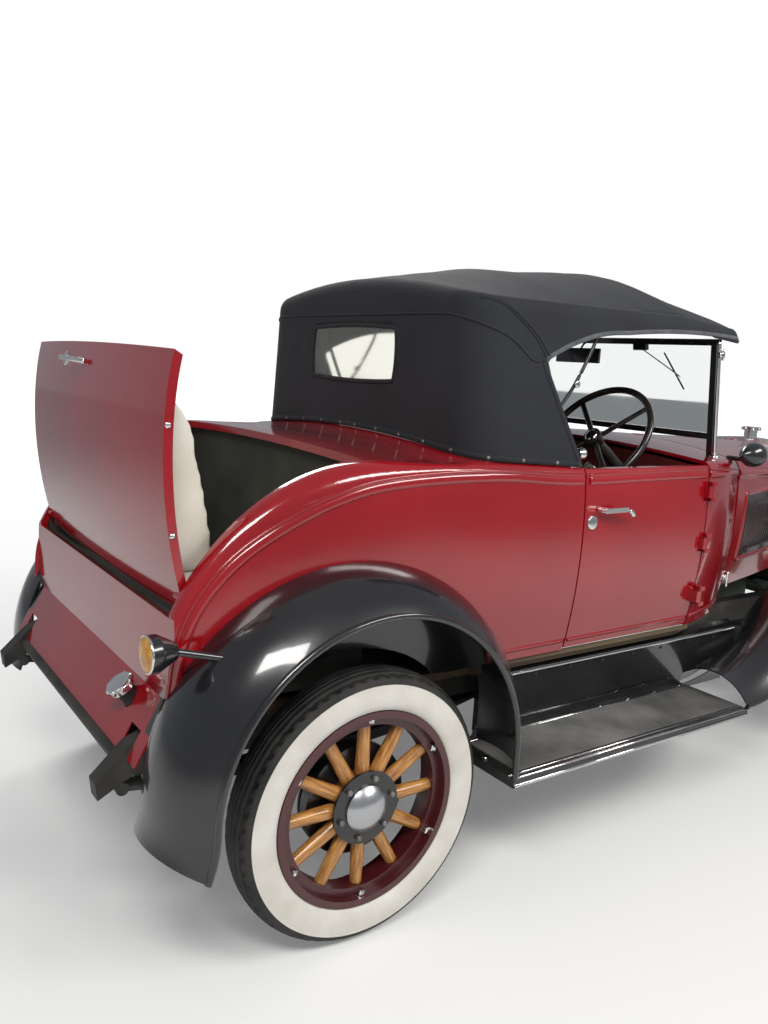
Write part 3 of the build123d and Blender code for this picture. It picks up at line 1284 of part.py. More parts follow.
# Tail lamp on an arm from the right-hand rear fender
TAIL_LAMP = Vector(-1889, -660, 832)
ARM_FOOT = Vector(-1715, -720, 815)
with BuildPart() as tail_lamp:
    with BuildSketch(Plane.YZ.offset(TAIL_LAMP.X)):
        with Locations((TAIL_LAMP.Y, TAIL_LAMP.Z)):
            Circle(44)
    extrude(amount=22)
    with BuildSketch(Plane.YZ.offset(TAIL_LAMP.X + 22)):
        with Locations((TAIL_LAMP.Y, TAIL_LAMP.Z)):
            Circle(44)
    with BuildSketch(Plane.YZ.offset(TAIL_LAMP.X + 66)):
        with Locations((TAIL_LAMP.Y, TAIL_LAMP.Z)):
            Circle(20)
    loft()
    arm_start = TAIL_LAMP + Vector(55, 0, 0)
    with BuildSketch(Plane(origin=arm_start, z_dir=ARM_FOOT - arm_start)):
        Circle(9)
    extrude(amount=(ARM_FOOT - arm_start).length)
    add(rear_fender_solid(grow=CLEAR, filled=True), mode=Mode.SUBTRACT)
save(tail_lamp, "tail_lamp")
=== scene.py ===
import math
import random
import bmesh
import bpy
from mathutils import Matrix, Vector
from mathutils.bvhtree import BVHTree


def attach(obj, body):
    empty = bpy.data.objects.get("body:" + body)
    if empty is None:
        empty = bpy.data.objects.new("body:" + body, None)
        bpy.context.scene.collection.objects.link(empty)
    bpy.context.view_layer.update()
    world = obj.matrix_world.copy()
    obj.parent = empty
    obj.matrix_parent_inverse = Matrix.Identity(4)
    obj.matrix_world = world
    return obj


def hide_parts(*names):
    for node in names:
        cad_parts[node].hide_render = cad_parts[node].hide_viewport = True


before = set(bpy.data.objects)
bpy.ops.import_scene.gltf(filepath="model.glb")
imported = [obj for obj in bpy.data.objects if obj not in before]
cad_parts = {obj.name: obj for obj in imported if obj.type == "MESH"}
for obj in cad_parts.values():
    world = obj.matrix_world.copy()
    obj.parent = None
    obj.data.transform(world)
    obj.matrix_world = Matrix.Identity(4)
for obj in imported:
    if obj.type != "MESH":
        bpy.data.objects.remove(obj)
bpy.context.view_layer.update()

scene = bpy.context.scene
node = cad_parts

# The showroom: a plain pale floor, soft lamps from above like the skylights over the car,
# and the camera behind the right-hand rear corner at a standing person's eye height.
EYE = Vector((-2.5344, -2.4378, 1.4933))
YAW, PITCH, ROLL = math.radians(54.62), math.radians(-9.65), math.radians(3.46)
ahead = Vector((math.cos(PITCH) * math.cos(YAW), math.cos(PITCH) * math.sin(YAW), math.sin(PITCH)))
right = ahead.cross(Vector((0, 0, 1))).normalized()
above = right.cross(ahead)
turned_right = right * math.cos(ROLL) + above * math.sin(ROLL)
turned_up = -right * math.sin(ROLL) + above * math.cos(ROLL)
eye_data = bpy.data.cameras.new("eye")
eye_data.sensor_fit = "VERTICAL"
eye_data.sensor_height = 36
eye_data.lens = 864.8 / 1024 * 36
eye_data.clip_end = 100
eye = bpy.data.objects.new("eye", eye_data)
eye.matrix_world = Matrix((
    (turned_right.x, turned_up.x, -ahead.x, EYE.x),
    (turned_right.y, turned_up.y, -ahead.y, EYE.y),
    (turned_right.z, turned_up.z, -ahead.z, EYE.z),
    (0, 0, 0, 1),
))
scene.collection.objects.link(eye)
scene.camera = eye
scene.view_settings.view_transform = "Standard"

world = bpy.data.worlds.new("studio")
scene.world = world
world.use_nodes = True
sky = world.node_tree
sky.nodes.clear()
ray = sky.nodes.new("ShaderNodeLightPath")
seen = sky.nodes.new("ShaderNodeMath")
seen.operation = "MAXIMUM"
sky.links.new(ray.outputs["Is Camera Ray"], seen.inputs[0])
sky.links.new(ray.outputs["Is Transmission Ray"], seen.inputs[1])
room_light = sky.nodes.new("ShaderNodeBackground")
room_light.inputs["Color"].default_value = (0.80, 0.84, 0.90, 1)
room_light.inputs["Strength"].default_value = 0.34
backdrop = sky.nodes.new("ShaderNodeBackground")
backdrop.inputs["Color"].default_value = (1, 1, 1, 1)
choose = sky.nodes.new("ShaderNodeMixShader")
sky.links.new(seen.outputs[0], choose.inputs[0])
sky.links.new(room_light.outputs[0], choose.inputs[1])
sky.links.new(backdrop.outputs[0], choose.inputs[2])
sky.links.new(choose.outputs[0], sky.nodes.new("ShaderNodeOutputWorld").inputs[0])

for name, place, aim, size, power in (
    ("skylight_rear", (-3.4, -3.2, 4.4), (-0.9, -0.3, 0.7), (2.6, 1.0), 150),
    ("skylight_side", (1.6, -4.2, 4.2), (-0.2, -0.5, 0.7), (3.2, 1.0), 150),
    ("skylight_far", (0.5, 3.4, 4.4), (-0.4, 0.2, 0.8), (3.2, 1.2), 130),
):
    lamp_data = bpy.data.lights.new(name, "AREA")
    lamp_data.shape = "RECTANGLE"
    lamp_data.size, lamp_data.size_y = size
    lamp_data.energy = power
    lamp_data.color = (1.0, 0.98, 0.95)
    lamp = bpy.data.objects.new(name, lamp_data)
    lamp.location = place
    lamp.rotation_euler = (Vector(aim) - Vector(place)).to_track_quat("-Z", "Y").to_euler()
    scene.collection.objects.link(lamp)


def surface(name, colour, rough=0.5, metal=0.0, **sockets):
    """A new finish: its name, main colour, roughness and metal, with the shader's other sockets by name."""
    mat = bpy.data.materials.new(name)
    mat.use_nodes = True
    bsdf = mat.node_tree.nodes["Principled BSDF"]
    bsdf.inputs["Base Color"].default_value = (*colour, 1)
    bsdf.inputs["Roughness"].default_value = rough
    bsdf.inputs["Metallic"].default_value = metal
    for socket, value in sockets.items():
        bsdf.inputs[socket.replace("_", " ")].default_value = value
    mat.diffuse_color = (*colour, 1)
    return mat


def part_of(mat, kind, **values):
    """One more node in a finish."""
    made = mat.node_tree.nodes.new(kind)
    for key, value in values.items():
        setattr(made, key, value)
    return made


def mottle(mat, colours, scale, rough=None, bump=0.0, bump_scale=None, stretch=(1, 1, 1), detail=4):
    """Uneven colour, sheen and grain over a finish, at a real size given in cycles a metre."""
    tree = mat.node_tree
    bsdf = tree.nodes["Principled BSDF"]
    place = part_of(mat, "ShaderNodeTexCoord")
    turn = part_of(mat, "ShaderNodeMapping")
    turn.inputs["Scale"].default_value = stretch
    tree.links.new(place.outputs["Object"], turn.inputs["Vector"])
    cloud = part_of(mat, "ShaderNodeTexNoise")
    cloud.inputs["Scale"].default_value = scale
    cloud.inputs["Detail"].default_value = detail
    tree.links.new(turn.outputs[0], cloud.inputs["Vector"])
    ramp = part_of(mat, "ShaderNodeValToRGB")
    ramp.color_ramp.elements[0].position = 0.32
    ramp.color_ramp.elements[1].position = 0.70
    ramp.color_ramp.elements[0].color = (*colours[0], 1)
    ramp.color_ramp.elements[1].color = (*colours[1], 1)
    tree.links.new(cloud.outputs["Fac"], ramp.inputs["Fac"])
    tree.links.new(ramp.outputs["Color"], bsdf.inputs["Base Color"])
    if rough:
        span = part_of(mat, "ShaderNodeMapRange")
        span.inputs["To Min"].default_value = rough[0]
        span.inputs["To Max"].default_value = rough[1]
        tree.links.new(cloud.outputs["Fac"], span.inputs["Value"])
        tree.links.new(span.outputs[0], bsdf.inputs["Roughness"])
    if bump:
        grain = part_of(mat, "ShaderNodeTexNoise")
        grain.inputs["Scale"].default_value = bump_scale
        grain.inputs["Detail"].default_value = 2
        tree.links.new(turn.outputs[0], grain.inputs["Vector"])
        relief = part_of(mat, "ShaderNodeBump")
        relief.inputs["Strength"].default_value = bump
        relief.inputs["Distance"].default_value = 0.001
        tree.links.new(grain.outputs["Fac"], relief.inputs["Height"])
        tree.links.new(relief.outputs[0], bsdf.inputs["Normal"])
    return ramp


floor_paint = surface("showroom_floor", (0.80, 0.80, 0.79), 0.75)
tree = floor_paint.node_tree
camera_ray = part_of(floor_paint, "ShaderNodeLightPath")
bright = part_of(floor_paint, "ShaderNodeEmission")
bright.inputs["Color"].default_value = (1, 1, 1, 1)
floor_place = part_of(floor_paint, "ShaderNodeTexCoord")
floor_reach = part_of(floor_paint, "ShaderNodeVectorMath", operation="LENGTH")
tree.links.new(floor_place.outputs["Object"], floor_reach.inputs[0])
far_glow = part_of(floor_paint, "ShaderNodeMapRange")
for socket, value in (("From Min", 2.6), ("From Max", 9.0), ("To Min", 0.16), ("To Max", 1.0)):
    far_glow.inputs[socket].default_value = value
tree.links.new(floor_reach.outputs["Value"], far_glow.inputs["Value"])
tree.links.new(far_glow.outputs[0], bright.inputs["Strength"])
together = part_of(floor_paint, "ShaderNodeAddShader")
lit = part_of(floor_paint, "ShaderNodeMixShader")
tree.links.new(tree.nodes["Principled BSDF"].outputs[0], together.inputs[0])
tree.links.new(bright.outputs[0], together.inputs[1])
tree.links.new(camera_ray.outputs["Is Camera Ray"], lit.inputs[0])
tree.links.new(tree.nodes["Principled BSDF"].outputs[0], lit.inputs[1])
tree.links.new(together.outputs[0], lit.inputs[2])
tree.links.new(lit.outputs[0], tree.nodes["Material Output"].inputs[0])
floor_mesh = bpy.data.meshes.new("showroom_floor")
floor_mesh.from_pydata([(-60, -60, 0), (60, -60, 0), (60, 60, 0), (-60, 60, 0)], [], [(0, 1, 2, 3)])
floor_mesh.materials.append(floor_paint)
ground = bpy.data.objects.new("showroom_floor", floor_mesh)
scene.collection.objects.link(ground)

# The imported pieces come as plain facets. Each keeps its mesh, and a small node tree welds
# and shades it so that pressed panels read as smooth while their folded edges stay crisp.
weld = bpy.data.node_groups.new("weld_and_shade", "GeometryNodeTree")
weld.interface.new_socket("Geometry", in_out="INPUT", socket_type="NodeSocketGeometry")
limit_socket = weld.interface.new_socket("Crease limit", in_out="INPUT", socket_type="NodeSocketFloat")
limit_socket.default_value = math.radians(32)
weld.interface.new_socket("Geometry", in_out="OUTPUT", socket_type="NodeSocketGeometry")
w_in = weld.nodes.new("NodeGroupInput")
w_merge = weld.nodes.new("GeometryNodeMergeByDistance")
w_merge.inputs["Distance"].default_value = 0.00002
w_smooth = weld.nodes.new("GeometryNodeSetShadeSmooth")
w_crease = weld.nodes.new("GeometryNodeSetShadeSmooth")
w_crease.domain = "EDGE"
w_crease.inputs["Shade Smooth"].default_value = False
w_angle = weld.nodes.new("GeometryNodeInputMeshEdgeAngle")
w_more = weld.nodes.new("FunctionNodeCompare")
w_more.operation = "GREATER_THAN"
w_out = weld.nodes.new("NodeGroupOutput")
weld.links.new(w_in.outputs[0], w_merge.inputs["Geometry"])
weld.links.new(w_merge.outputs[0], w_smooth.inputs["Geometry"])
weld.links.new(w_smooth.outputs[0], w_crease.inputs["Geometry"])
weld.links.new(w_angle.outputs["Unsigned Angle"], w_more.inputs[0])
weld.links.new(w_in.outputs[1], w_more.inputs[1])
weld.links.new(w_more.outputs[0], w_crease.inputs["Selection"])
weld.links.new(w_crease.outputs[0], w_out.inputs[0])


def finish_node(names, mat):
    """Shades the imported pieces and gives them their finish."""
    for name in names.split():
        piece = node[name]
        modifier = piece.modifiers.new("shade", "NODES")
        modifier.node_group = weld
        piece.data.materials.clear()
        piece.data.materials.append(mat)


# Paints: two-pack gloss red on the body, gloss black on the fenders, both with a faint
# unevenness of dust and polishing haze that changes the sheen from place to place.
red_paint = surface("red_body_paint", (0.30, 0.003, 0.008), 0.22, Coat_Weight=0.9, Coat_Roughness=0.05)
red_ramp = mottle(red_paint, ((0.25, 0.002, 0.006), (0.34, 0.004, 0.010)), 1.6, (0.12, 0.24))
black_paint = surface("black_fender_paint", (0.008, 0.008, 0.010), 0.2, Coat_Weight=0.9,
                      Coat_Roughness=0.06)
mottle(black_paint, ((0.006, 0.006, 0.008), (0.016, 0.016, 0.017)), 2.2, (0.16, 0.36), 0.03, 240)
chassis_paint = surface("black_chassis_paint", (0.02, 0.02, 0.02), 0.5)
mottle(chassis_paint, ((0.012, 0.012, 0.012), (0.055, 0.050, 0.044)), 9, (0.42, 0.75), 0.12, 300)
chrome = surface("polished_plating", (0.78, 0.78, 0.77), 0.1, 1.0)
mottle(chrome, ((0.70, 0.70, 0.69), (0.86, 0.86, 0.85)), 14, (0.06, 0.22))
dull_steel = surface("dull_steel", (0.30, 0.29, 0.28), 0.45, 0.9)
mottle(dull_steel, ((0.16, 0.13, 0.11), (0.36, 0.35, 0.33)), 18, (0.35, 0.65), 0.08, 350)
iron_paint = surface("engine_paint", (0.09, 0.13, 0.10), 0.5)
mottle(iron_paint, ((0.05, 0.07, 0.055), (0.11, 0.15, 0.12)), 10, (0.4, 0.7), 0.25, 180)
finish_node("frame springs front_axle rear_axle knuckle_left knuckle_right tie_rod propeller_shaft "
            "steering_column fuel_tank", chassis_paint)
finish_node("engine_block", iron_paint)
finish_node("exhaust", dull_steel)
finish_node("rear_body cowl hood_left hood_right rumble_lid tank_apron", red_paint)
finish_node("rear_fenders front_fenders splash_aprons windshield_frame headlamps cowl_lamps tail_lamp",
            black_paint)
finish_node("radiator_shell filler_cap", chrome)

# Wheels: balloon tyres with a wide white wall on wood-spoke artillery wheels. The tyre is
# one turned form with moulded rings and a staggered block tread; twelve varnished spokes,
# a maroon felloe and rim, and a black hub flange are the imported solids.
AXLES = {"front": 1.445, "rear": -1.335}
HALF_TRACK, WHEEL_Z = 0.711, 0.366
CORNERS = [(f"{end}_{hand}", AXLES[end], side)
           for end in AXLES for hand, side in (("left", 1), ("right", -1))]


def polar(mat):
    """Distance from the nearer wheel's axle and angle round it, as sockets."""
    tree = mat.node_tree
    place = part_of(mat, "ShaderNodeTexCoord")
    axes = part_of(mat, "ShaderNodeSeparateXYZ")
    tree.links.new(place.outputs["Object"], axes.inputs[0])

    def step(kind, first, second=None):
        made = part_of(mat, "ShaderNodeMath", operation=kind)
        for socket, value in ((0, first), (1, second)):
            if value is None:
                continue
            if isinstance(value, (int, float)):
                made.inputs[socket].default_value = value
            else:
                tree.links.new(value, made.inputs[socket])
        return made.outputs[0]

    front = step("GREATER_THAN", axes.outputs["X"], 0.0)
    centre = step("ADD", step("MULTIPLY", front, AXLES["front"] - AXLES["rear"]), AXLES["rear"])
    across = step("SUBTRACT", axes.outputs["X"], centre)
    up = step("SUBTRACT", axes.outputs["Z"], WHEEL_Z)
    reach = step("SQRT", step("ADD", step("MULTIPLY", across, across), step("MULTIPLY", up, up)))
    angle = step("ARCTAN2", up, across)
    return reach, angle, axes, step


rubber = surface("tyre_rubber", (0.018, 0.018, 0.018), 0.75)
mottle(rubber, ((0.012, 0.012, 0.012), (0.045, 0.043, 0.040)), 14, (0.62, 0.9), 0.25, 420)
white_wall = surface("white_wall", (0.70, 0.68, 0.62), 0.55)
mottle(white_wall, ((0.62, 0.59, 0.52), (0.76, 0.74, 0.69)), 9, (0.45, 0.65), 0.1, 380)

# Half of the tyre's section from the bead outwards: (u outwards from the middle plane, radius)
TYRE_WALL = (
    (0.0480, 0.2525), (0.0500, 0.2610), (0.0505, 0.2665), (0.0520, 0.2680), (0.0545, 0.2700),
    (0.0600, 0.2830),
    (0.0619, 0.2960), (0.0625, 0.3060), (0.0622, 0.3170), (0.0610, 0.3280), (0.0595, 0.3365),
)
TYRE_SHOULDER = ((0.0598, 0.3385), (0.0590, 0.3400), (0.0560, 0.3440), (0.0555, 0.3460), (0.0520, 0.3500),
                 (0.0500, 0.3515))
TREAD_RIBS = (
    # rib's outer and inner edge from the middle plane, and its radius at each
    (0.0500, 0.0400, 0.3520, 0.3585),
    (0.0345, 0.0240, 0.3605, 0.3630),
    (0.0190, 0.0075, 0.3645, 0.3655),
)


def tyre_mesh(name, axle_x, side):
    """One tyre, turned about its axle, with its tread blocks staggered round it."""
    half = [(u, r, "wall") for u, r in TYRE_WALL] + [(u, r, "side") for u, r in TYRE_SHOULDER]
    for outer, inner, r_outer, r_inner in TREAD_RIBS:
        half += [(outer, r_outer, "rib"), (inner, r_inner, "rib"),
                 (inner - 0.0012, r_inner - 0.007, "groove"),
                 (inner - 0.0043, r_inner - 0.007, "groove")]
    half.append((0.0060, 0.3658, "rib"))
    section = half + [(-u, r, kind) for u, r, kind in reversed(half)]
    steps = 180
    verts, faces, kinds = [], [], []
    for turn in range(steps):
        angle = 2 * math.pi * turn / steps
        stagger = 0.0022 if turn % 6 < 3 else -0.0022
        cut = turn % 3 == 0
        for u, r, kind in section:
            shift = stagger if kind == "groove" and abs(u) < 0.040 else 0
            low = 0.003 if kind == "rib" and cut and abs(u) > 0.0345 else 0
            verts.append((
                axle_x + (r - low) * math.cos(angle), side * (HALF_TRACK + u + shift),
                WHEEL_Z + (r - low) * math.sin(angle),
            ))
    count = len(section)
    for turn in range(steps):
        here, there = turn * count, (turn + 1) % steps * count
        for row in range(count - 1):
            faces.append((here + row, here + row + 1, there + row + 1, there + row))
            kinds.append(1 if section[row][2] == section[row + 1][2] == "wall" and section[row][1] > 0.266
                         and section[row][0] > 0 else 0)
        faces.append((here + count - 1, here, there, there + count - 1))
        kinds.append(0)
    mesh = bpy.data.meshes.new(name)
    mesh.from_pydata(verts, [], faces)
    for face, kind in zip(mesh.polygons, kinds):
        face.material_index = kind
        face.use_smooth = True
    mesh.materials.append(rubber)
    mesh.materials.append(white_wall)
    return mesh


def outward(mesh):
    """Turns a closed mesh's faces outwards and joins its doubled points."""
    work = bmesh.new()
    work.from_mesh(mesh)
    bmesh.ops.remove_doubles(work, verts=work.verts, dist=0.00001)
    bmesh.ops.recalc_face_normals(work, faces=work.faces)
    work.to_mesh(mesh)
    work.free()
    mesh.update()
    return mesh


def place_piece(name, mesh, body, instead=()):
    """Hangs a finished mesh on its body."""
    piece = bpy.data.objects.new(name, mesh)
    scene.collection.objects.link(piece)
    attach(piece, body)
    if instead:
        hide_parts(*instead)
    return piece


for corner, axle_x, side in CORNERS:
    place_piece(f"tyre_dressed_{corner}", outward(tyre_mesh(f"tyre_dressed_{corner}", axle_x, side)),
                f"wheel_{corner}", (f"tyre_{corner}",))

# Spokes: grain runs along each spoke; the heel near the hub is a darker brown, and the felloe outside the
# spokes carries the rim's maroon.
spoke_wood = surface("varnished_hickory", (0.50, 0.25, 0.07), 0.35, Coat_Weight=0.5, Coat_Roughness=0.12)
reach, angle, axes, step = polar(spoke_wood)
tree = spoke_wood.node_tree
grain_place = part_of(spoke_wood, "ShaderNodeCombineXYZ")
tree.links.new(step("MULTIPLY", reach, 9.0), grain_place.inputs[0])
tree.links.new(step("MULTIPLY", angle, 14.0), grain_place.inputs[1])
tree.links.new(step("MULTIPLY", axes.outputs["Y"], 90.0), grain_place.inputs[2])
grain = part_of(spoke_wood, "ShaderNodeTexNoise")
grain.inputs["Scale"].default_value = 1.6
grain.inputs["Detail"].default_value = 5
tree.links.new(grain_place.outputs[0], grain.inputs["Vector"])
wood_ramp = part_of(spoke_wood, "ShaderNodeValToRGB")
wood_ramp.color_ramp.elements[0].position, wood_ramp.color_ramp.elements[1].position = 0.3, 0.68
wood_ramp.color_ramp.elements[0].color = (0.24, 0.085, 0.018, 1)
wood_ramp.color_ramp.elements[1].color = (0.60, 0.29, 0.075, 1)
tree.links.new(grain.outputs["Fac"], wood_ramp.inputs["Fac"])
rim_share = part_of(spoke_wood, "ShaderNodeMix", data_type="RGBA")
tree.links.new(step("GREATER_THAN", reach, 0.2215), rim_share.inputs[0])
tree.links.new(wood_ramp.outputs[0], rim_share.inputs[6])
rim_share.inputs[7].default_value = (0.060, 0.006, 0.008, 1)
heel_share = part_of(spoke_wood, "ShaderNodeMix", data_type="RGBA")
tree.links.new(step("LESS_THAN", reach, 0.088), heel_share.inputs[0])
tree.links.new(rim_share.outputs[2], heel_share.inputs[6])
heel_share.inputs[7].default_value = (0.14, 0.050, 0.014, 1)
tree.links.new(heel_share.outputs[2], tree.nodes["Principled BSDF"].inputs["Base Color"])
wood_relief = part_of(spoke_wood, "ShaderNodeBump")
wood_relief.inputs["Strength"].default_value = 0.15
wood_relief.inputs["Distance"].default_value = 0.001
tree.links.new(grain.outputs["Fac"], wood_relief.inputs["Height"])
tree.links.new(wood_relief.outputs[0], tree.nodes["Principled BSDF"].inputs["Normal"])
finish_node(" ".join(f"spokes_{corner}" for corner, _, _ in CORNERS), spoke_wood)

# Rim and hub: maroon rim, black drum and flange, and a bare silvered cap in the middle
wheel_metal = surface("rim_and_hub_paint", (0.06, 0.006, 0.008), 0.25, Coat_Weight=0.6, Coat_Roughness=0.08)
reach, angle, axes, step = polar(wheel_metal)
tree = wheel_metal.node_tree
base_mix = part_of(wheel_metal, "ShaderNodeMix", data_type="RGBA")
tree.links.new(step("LESS_THAN", reach, 0.2), base_mix.inputs[0])
base_mix.inputs[6].default_value = (0.060, 0.006, 0.008, 1)
base_mix.inputs[7].default_value = (0.012, 0.012, 0.013, 1)
cap_side = step("GREATER_THAN", step("ABSOLUTE", axes.outputs["Y"]), 0.7495)
cap_here = step("MULTIPLY", step("LESS_THAN", reach, 0.0632), cap_side)
cap_mix = part_of(wheel_metal, "ShaderNodeMix", data_type="RGBA")
tree.links.new(cap_here, cap_mix.inputs[0])
tree.links.new(base_mix.outputs[2], cap_mix.inputs[6])
cap_mix.inputs[7].default_value = (0.52, 0.53, 0.55, 1)
tree.links.new(cap_mix.outputs[2], tree.nodes["Principled BSDF"].inputs["Base Color"])
tree.links.new(cap_here, tree.nodes["Principled BSDF"].inputs["Metallic"])
brushing = part_of(wheel_metal, "ShaderNodeTexNoise", noise_dimensions="1D")
tree.links.new(step("MULTIPLY", reach, 900.0), brushing.inputs["W"])
brushing.inputs["Detail"].default_value = 2
spread = part_of(wheel_metal, "ShaderNodeMapRange")
spread.inputs["To Min"].default_value, spread.inputs["To Max"].default_value = 0.18, 0.42
tree.links.new(brushing.outputs["Fac"], spread.inputs["Value"])
tree.links.new(spread.outputs[0], tree.nodes["Principled BSDF"].inputs["Roughness"])
finish_node(" ".join(f"rim_and_hub_{corner}" for corner, _, _ in CORNERS), wheel_metal)


# Wheel fittings: six hexagon nuts on the hub flange and six plated wedge lugs that clamp
# the rim to the felloe, each ring made by one node tree from its sizes.
def ring_tree():
    """Node tree: chamfered hexagon or square heads standing on a circle in the XY plane."""
    group = bpy.data.node_groups.new("fastener_ring", "GeometryNodeTree")
    face = group.interface
    face.new_socket("Geometry", in_out="INPUT", socket_type="NodeSocketGeometry")
    for label, kind, value in (
        ("Count", "NodeSocketInt", 6), ("Sides", "NodeSocketInt", 6),
        ("Circle radius", "NodeSocketFloat", 0.08),
        ("Head radius", "NodeSocketFloat", 0.008), ("Head height", "NodeSocketFloat", 0.007),
        ("Crown", "NodeSocketFloat", 0.6), ("Metal", "NodeSocketMaterial", None),
    ):
        socket = face.new_socket(label, in_out="INPUT", socket_type=kind)
        if value is not None:
            socket.default_value = value
    face.new_socket("Geometry", in_out="OUTPUT", socket_type="NodeSocketGeometry")
    make, link = group.nodes.new, group.links.new
    given = make("NodeGroupInput")
    circle = make("GeometryNodeMeshCircle")
    link(given.outputs["Count"], circle.inputs["Vertices"])
    link(given.outputs["Circle radius"], circle.inputs["Radius"])
    head = make("GeometryNodeMeshCone")
    head.fill_type = "NGON"
    link(given.outputs["Sides"], head.inputs["Vertices"])
    link(given.outputs["Head radius"], head.inputs["Radius Bottom"])
    link(given.outputs["Head radius"], head.inputs["Radius Top"])
    link(given.outputs["Head height"], head.inputs["Depth"])
    crown = make("GeometryNodeMeshCone")
    crown.fill_type = "NGON"
    shrink = make("ShaderNodeMath")
    shrink.operation = "MULTIPLY"
    link(given.outputs["Head radius"], shrink.inputs[0])
    link(given.outputs["Crown"], shrink.inputs[1])
    link(given.outputs["Sides"], crown.inputs["Vertices"])
    link(given.outputs["Head radius"], crown.inputs["Radius Bottom"])
    link(shrink.outputs[0], crown.inputs["Radius Top"])
    third = make("ShaderNodeMath")
    third.operation = "MULTIPLY"
    third.inputs[1].default_value = 0.35
    link(given.outputs["Head height"], third.inputs[0])
    link(third.outputs[0], crown.inputs["Depth"])
    lift = make("GeometryNodeTransform")
    raise_by = make("ShaderNodeCombineXYZ")
    link(given.outputs["Head height"], raise_by.inputs[2])
    link(crown.outputs["Mesh"], lift.inputs["Geometry"])
    link(raise_by.outputs[0], lift.inputs["Translation"])
    both = make("GeometryNodeJoinGeometry")
    link(head.outputs["Mesh"], both.inputs[0])
    link(lift.outputs[0], both.inputs[0])
    stand = make("GeometryNodeInstanceOnPoints")
    link(circle.outputs["Mesh"], stand.inputs["Points"])
    link(both.outputs[0], stand.inputs["Instance"])
    real = make("GeometryNodeRealizeInstances")
    link(stand.outputs[0], real.inputs[0])
    paint = make("GeometryNodeSetMaterial")
    link(real.outputs[0], paint.inputs["Geometry"])
    link(given.outputs["Metal"], paint.inputs["Material"])
    out = make("NodeGroupOutput")
    link(paint.outputs[0], out.inputs[0])
    return group


def grown(name, group, **values):
    """The mesh that a node tree makes from named values."""
    holder = bpy.data.objects.new(name, bpy.data.meshes.new(name))
    scene.collection.objects.link(holder)
    modifier = holder.modifiers.new("grow", "NODES")
    modifier.node_group = group
    for item in group.interface.items_tree:
        if item.in_out == "INPUT" and item.name.replace(" ", "_") in values:
            modifier[item.identifier] = values[item.name.replace(" ", "_")]
    mesh = bpy.data.meshes.new_from_object(holder.evaluated_get(bpy.context.evaluated_depsgraph_get()))
    bpy.data.objects.remove(holder)
    mesh.name = name
    return mesh


def merged(name, meshes):
    """Several meshes as one, with their finishes kept."""
    finishes = []
    work = bmesh.new()
    for mesh in meshes:
        places = []
        for mat in mesh.materials:
            if mat not in finishes:
                finishes.append(mat)
            places.append(finishes.index(mat))
        start = len(work.faces)
        work.from_mesh(mesh)
        work.faces.ensure_lookup_table()
        for face in work.faces[start:]:
            face.material_index = places[face.material_index] if places else 0
    whole = bpy.data.meshes.new(name)
    work.to_mesh(whole)
    work.free()
    for mat in finishes:
        whole.materials.append(mat)
    return whole


def place_parts(name, meshes, body):
    """Joins small meshes and hangs them on a body as one piece."""
    return place_piece(name, merged(name, meshes), body)


fastener_ring = ring_tree()
for corner, axle_x, side in CORNERS:
    nuts = grown("nuts", fastener_ring, Count=6, Sides=6, Circle_radius=0.080, Head_radius=0.0085,
                 Head_height=0.0075, Crown=0.75, Metal=dull_steel)
    lugs = grown("lugs", fastener_ring, Count=6, Sides=4, Circle_radius=0.240, Head_radius=0.012,
                 Head_height=0.009, Crown=0.45, Metal=chrome)
    # heads stand on the XY plane: turned so that they face outwards on this side
    outwards = Matrix.Rotation(math.radians(-90 * side), 4, "X")
    nuts.transform(Matrix.Translation((axle_x, side * (HALF_TRACK + 0.0383 + 0.0006), WHEEL_Z)) @ outwards
                   @ Matrix.Rotation(math.radians(15), 4, "Z"))
    lugs.transform(Matrix.Translation((axle_x, side * (HALF_TRACK + 0.0335), WHEEL_Z)) @ outwards
                   @ Matrix.Rotation(math.radians(30), 4, "Z"))
    place_parts(f"wheel_fittings_{corner}", (nuts, lugs), f"wheel_{corner}")

# Belt and seam mouldings: a half-round double bead pressed along the body under the belt and
# a single bead along the sill, laid on the panels it belongs to so that it turns with a door.
def skin(*names):
    """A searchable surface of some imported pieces."""
    points, facets = [], []
    for name in names:
        start = len(points)
        points += [point.co.copy() for point in node[name].data.vertices]
        facets += [[start + corner for corner in face.vertices] for face in node[name].data.polygons]
    return BVHTree.FromPolygons(points, facets)


def touch(surface_tree, start, direction):
    """Where a line meets a surface, and the surface's outward normal there."""
    place, normal, _, _ = surface_tree.ray_cast(Vector(start), Vector(direction))
    if place is None:
        return None
    return place, (normal if normal.dot(Vector(direction)) < 0 else -normal)


def round_corners(points, step):
    """Evenly spaced points along a smooth line through the given ones."""
    pairs = [Vector(point) for point in points]
    ends = [pairs[0] * 2 - pairs[1]] + pairs + [pairs[-1] * 2 - pairs[-2]]
    fine = []
    for a, b, c, d in zip(ends, ends[1:], ends[2:], ends[3:]):
        count = max(2, int((c - b).length / step))
        for part in range(count):
            t = part / count
            fine.append(0.5 * (2 * b + (c - a) * t + (2 * a - 5 * b + 4 * c - d) * t * t
                               + (3 * b - a - 3 * c + d) * t * t * t))
    return fine + [pairs[-1]]


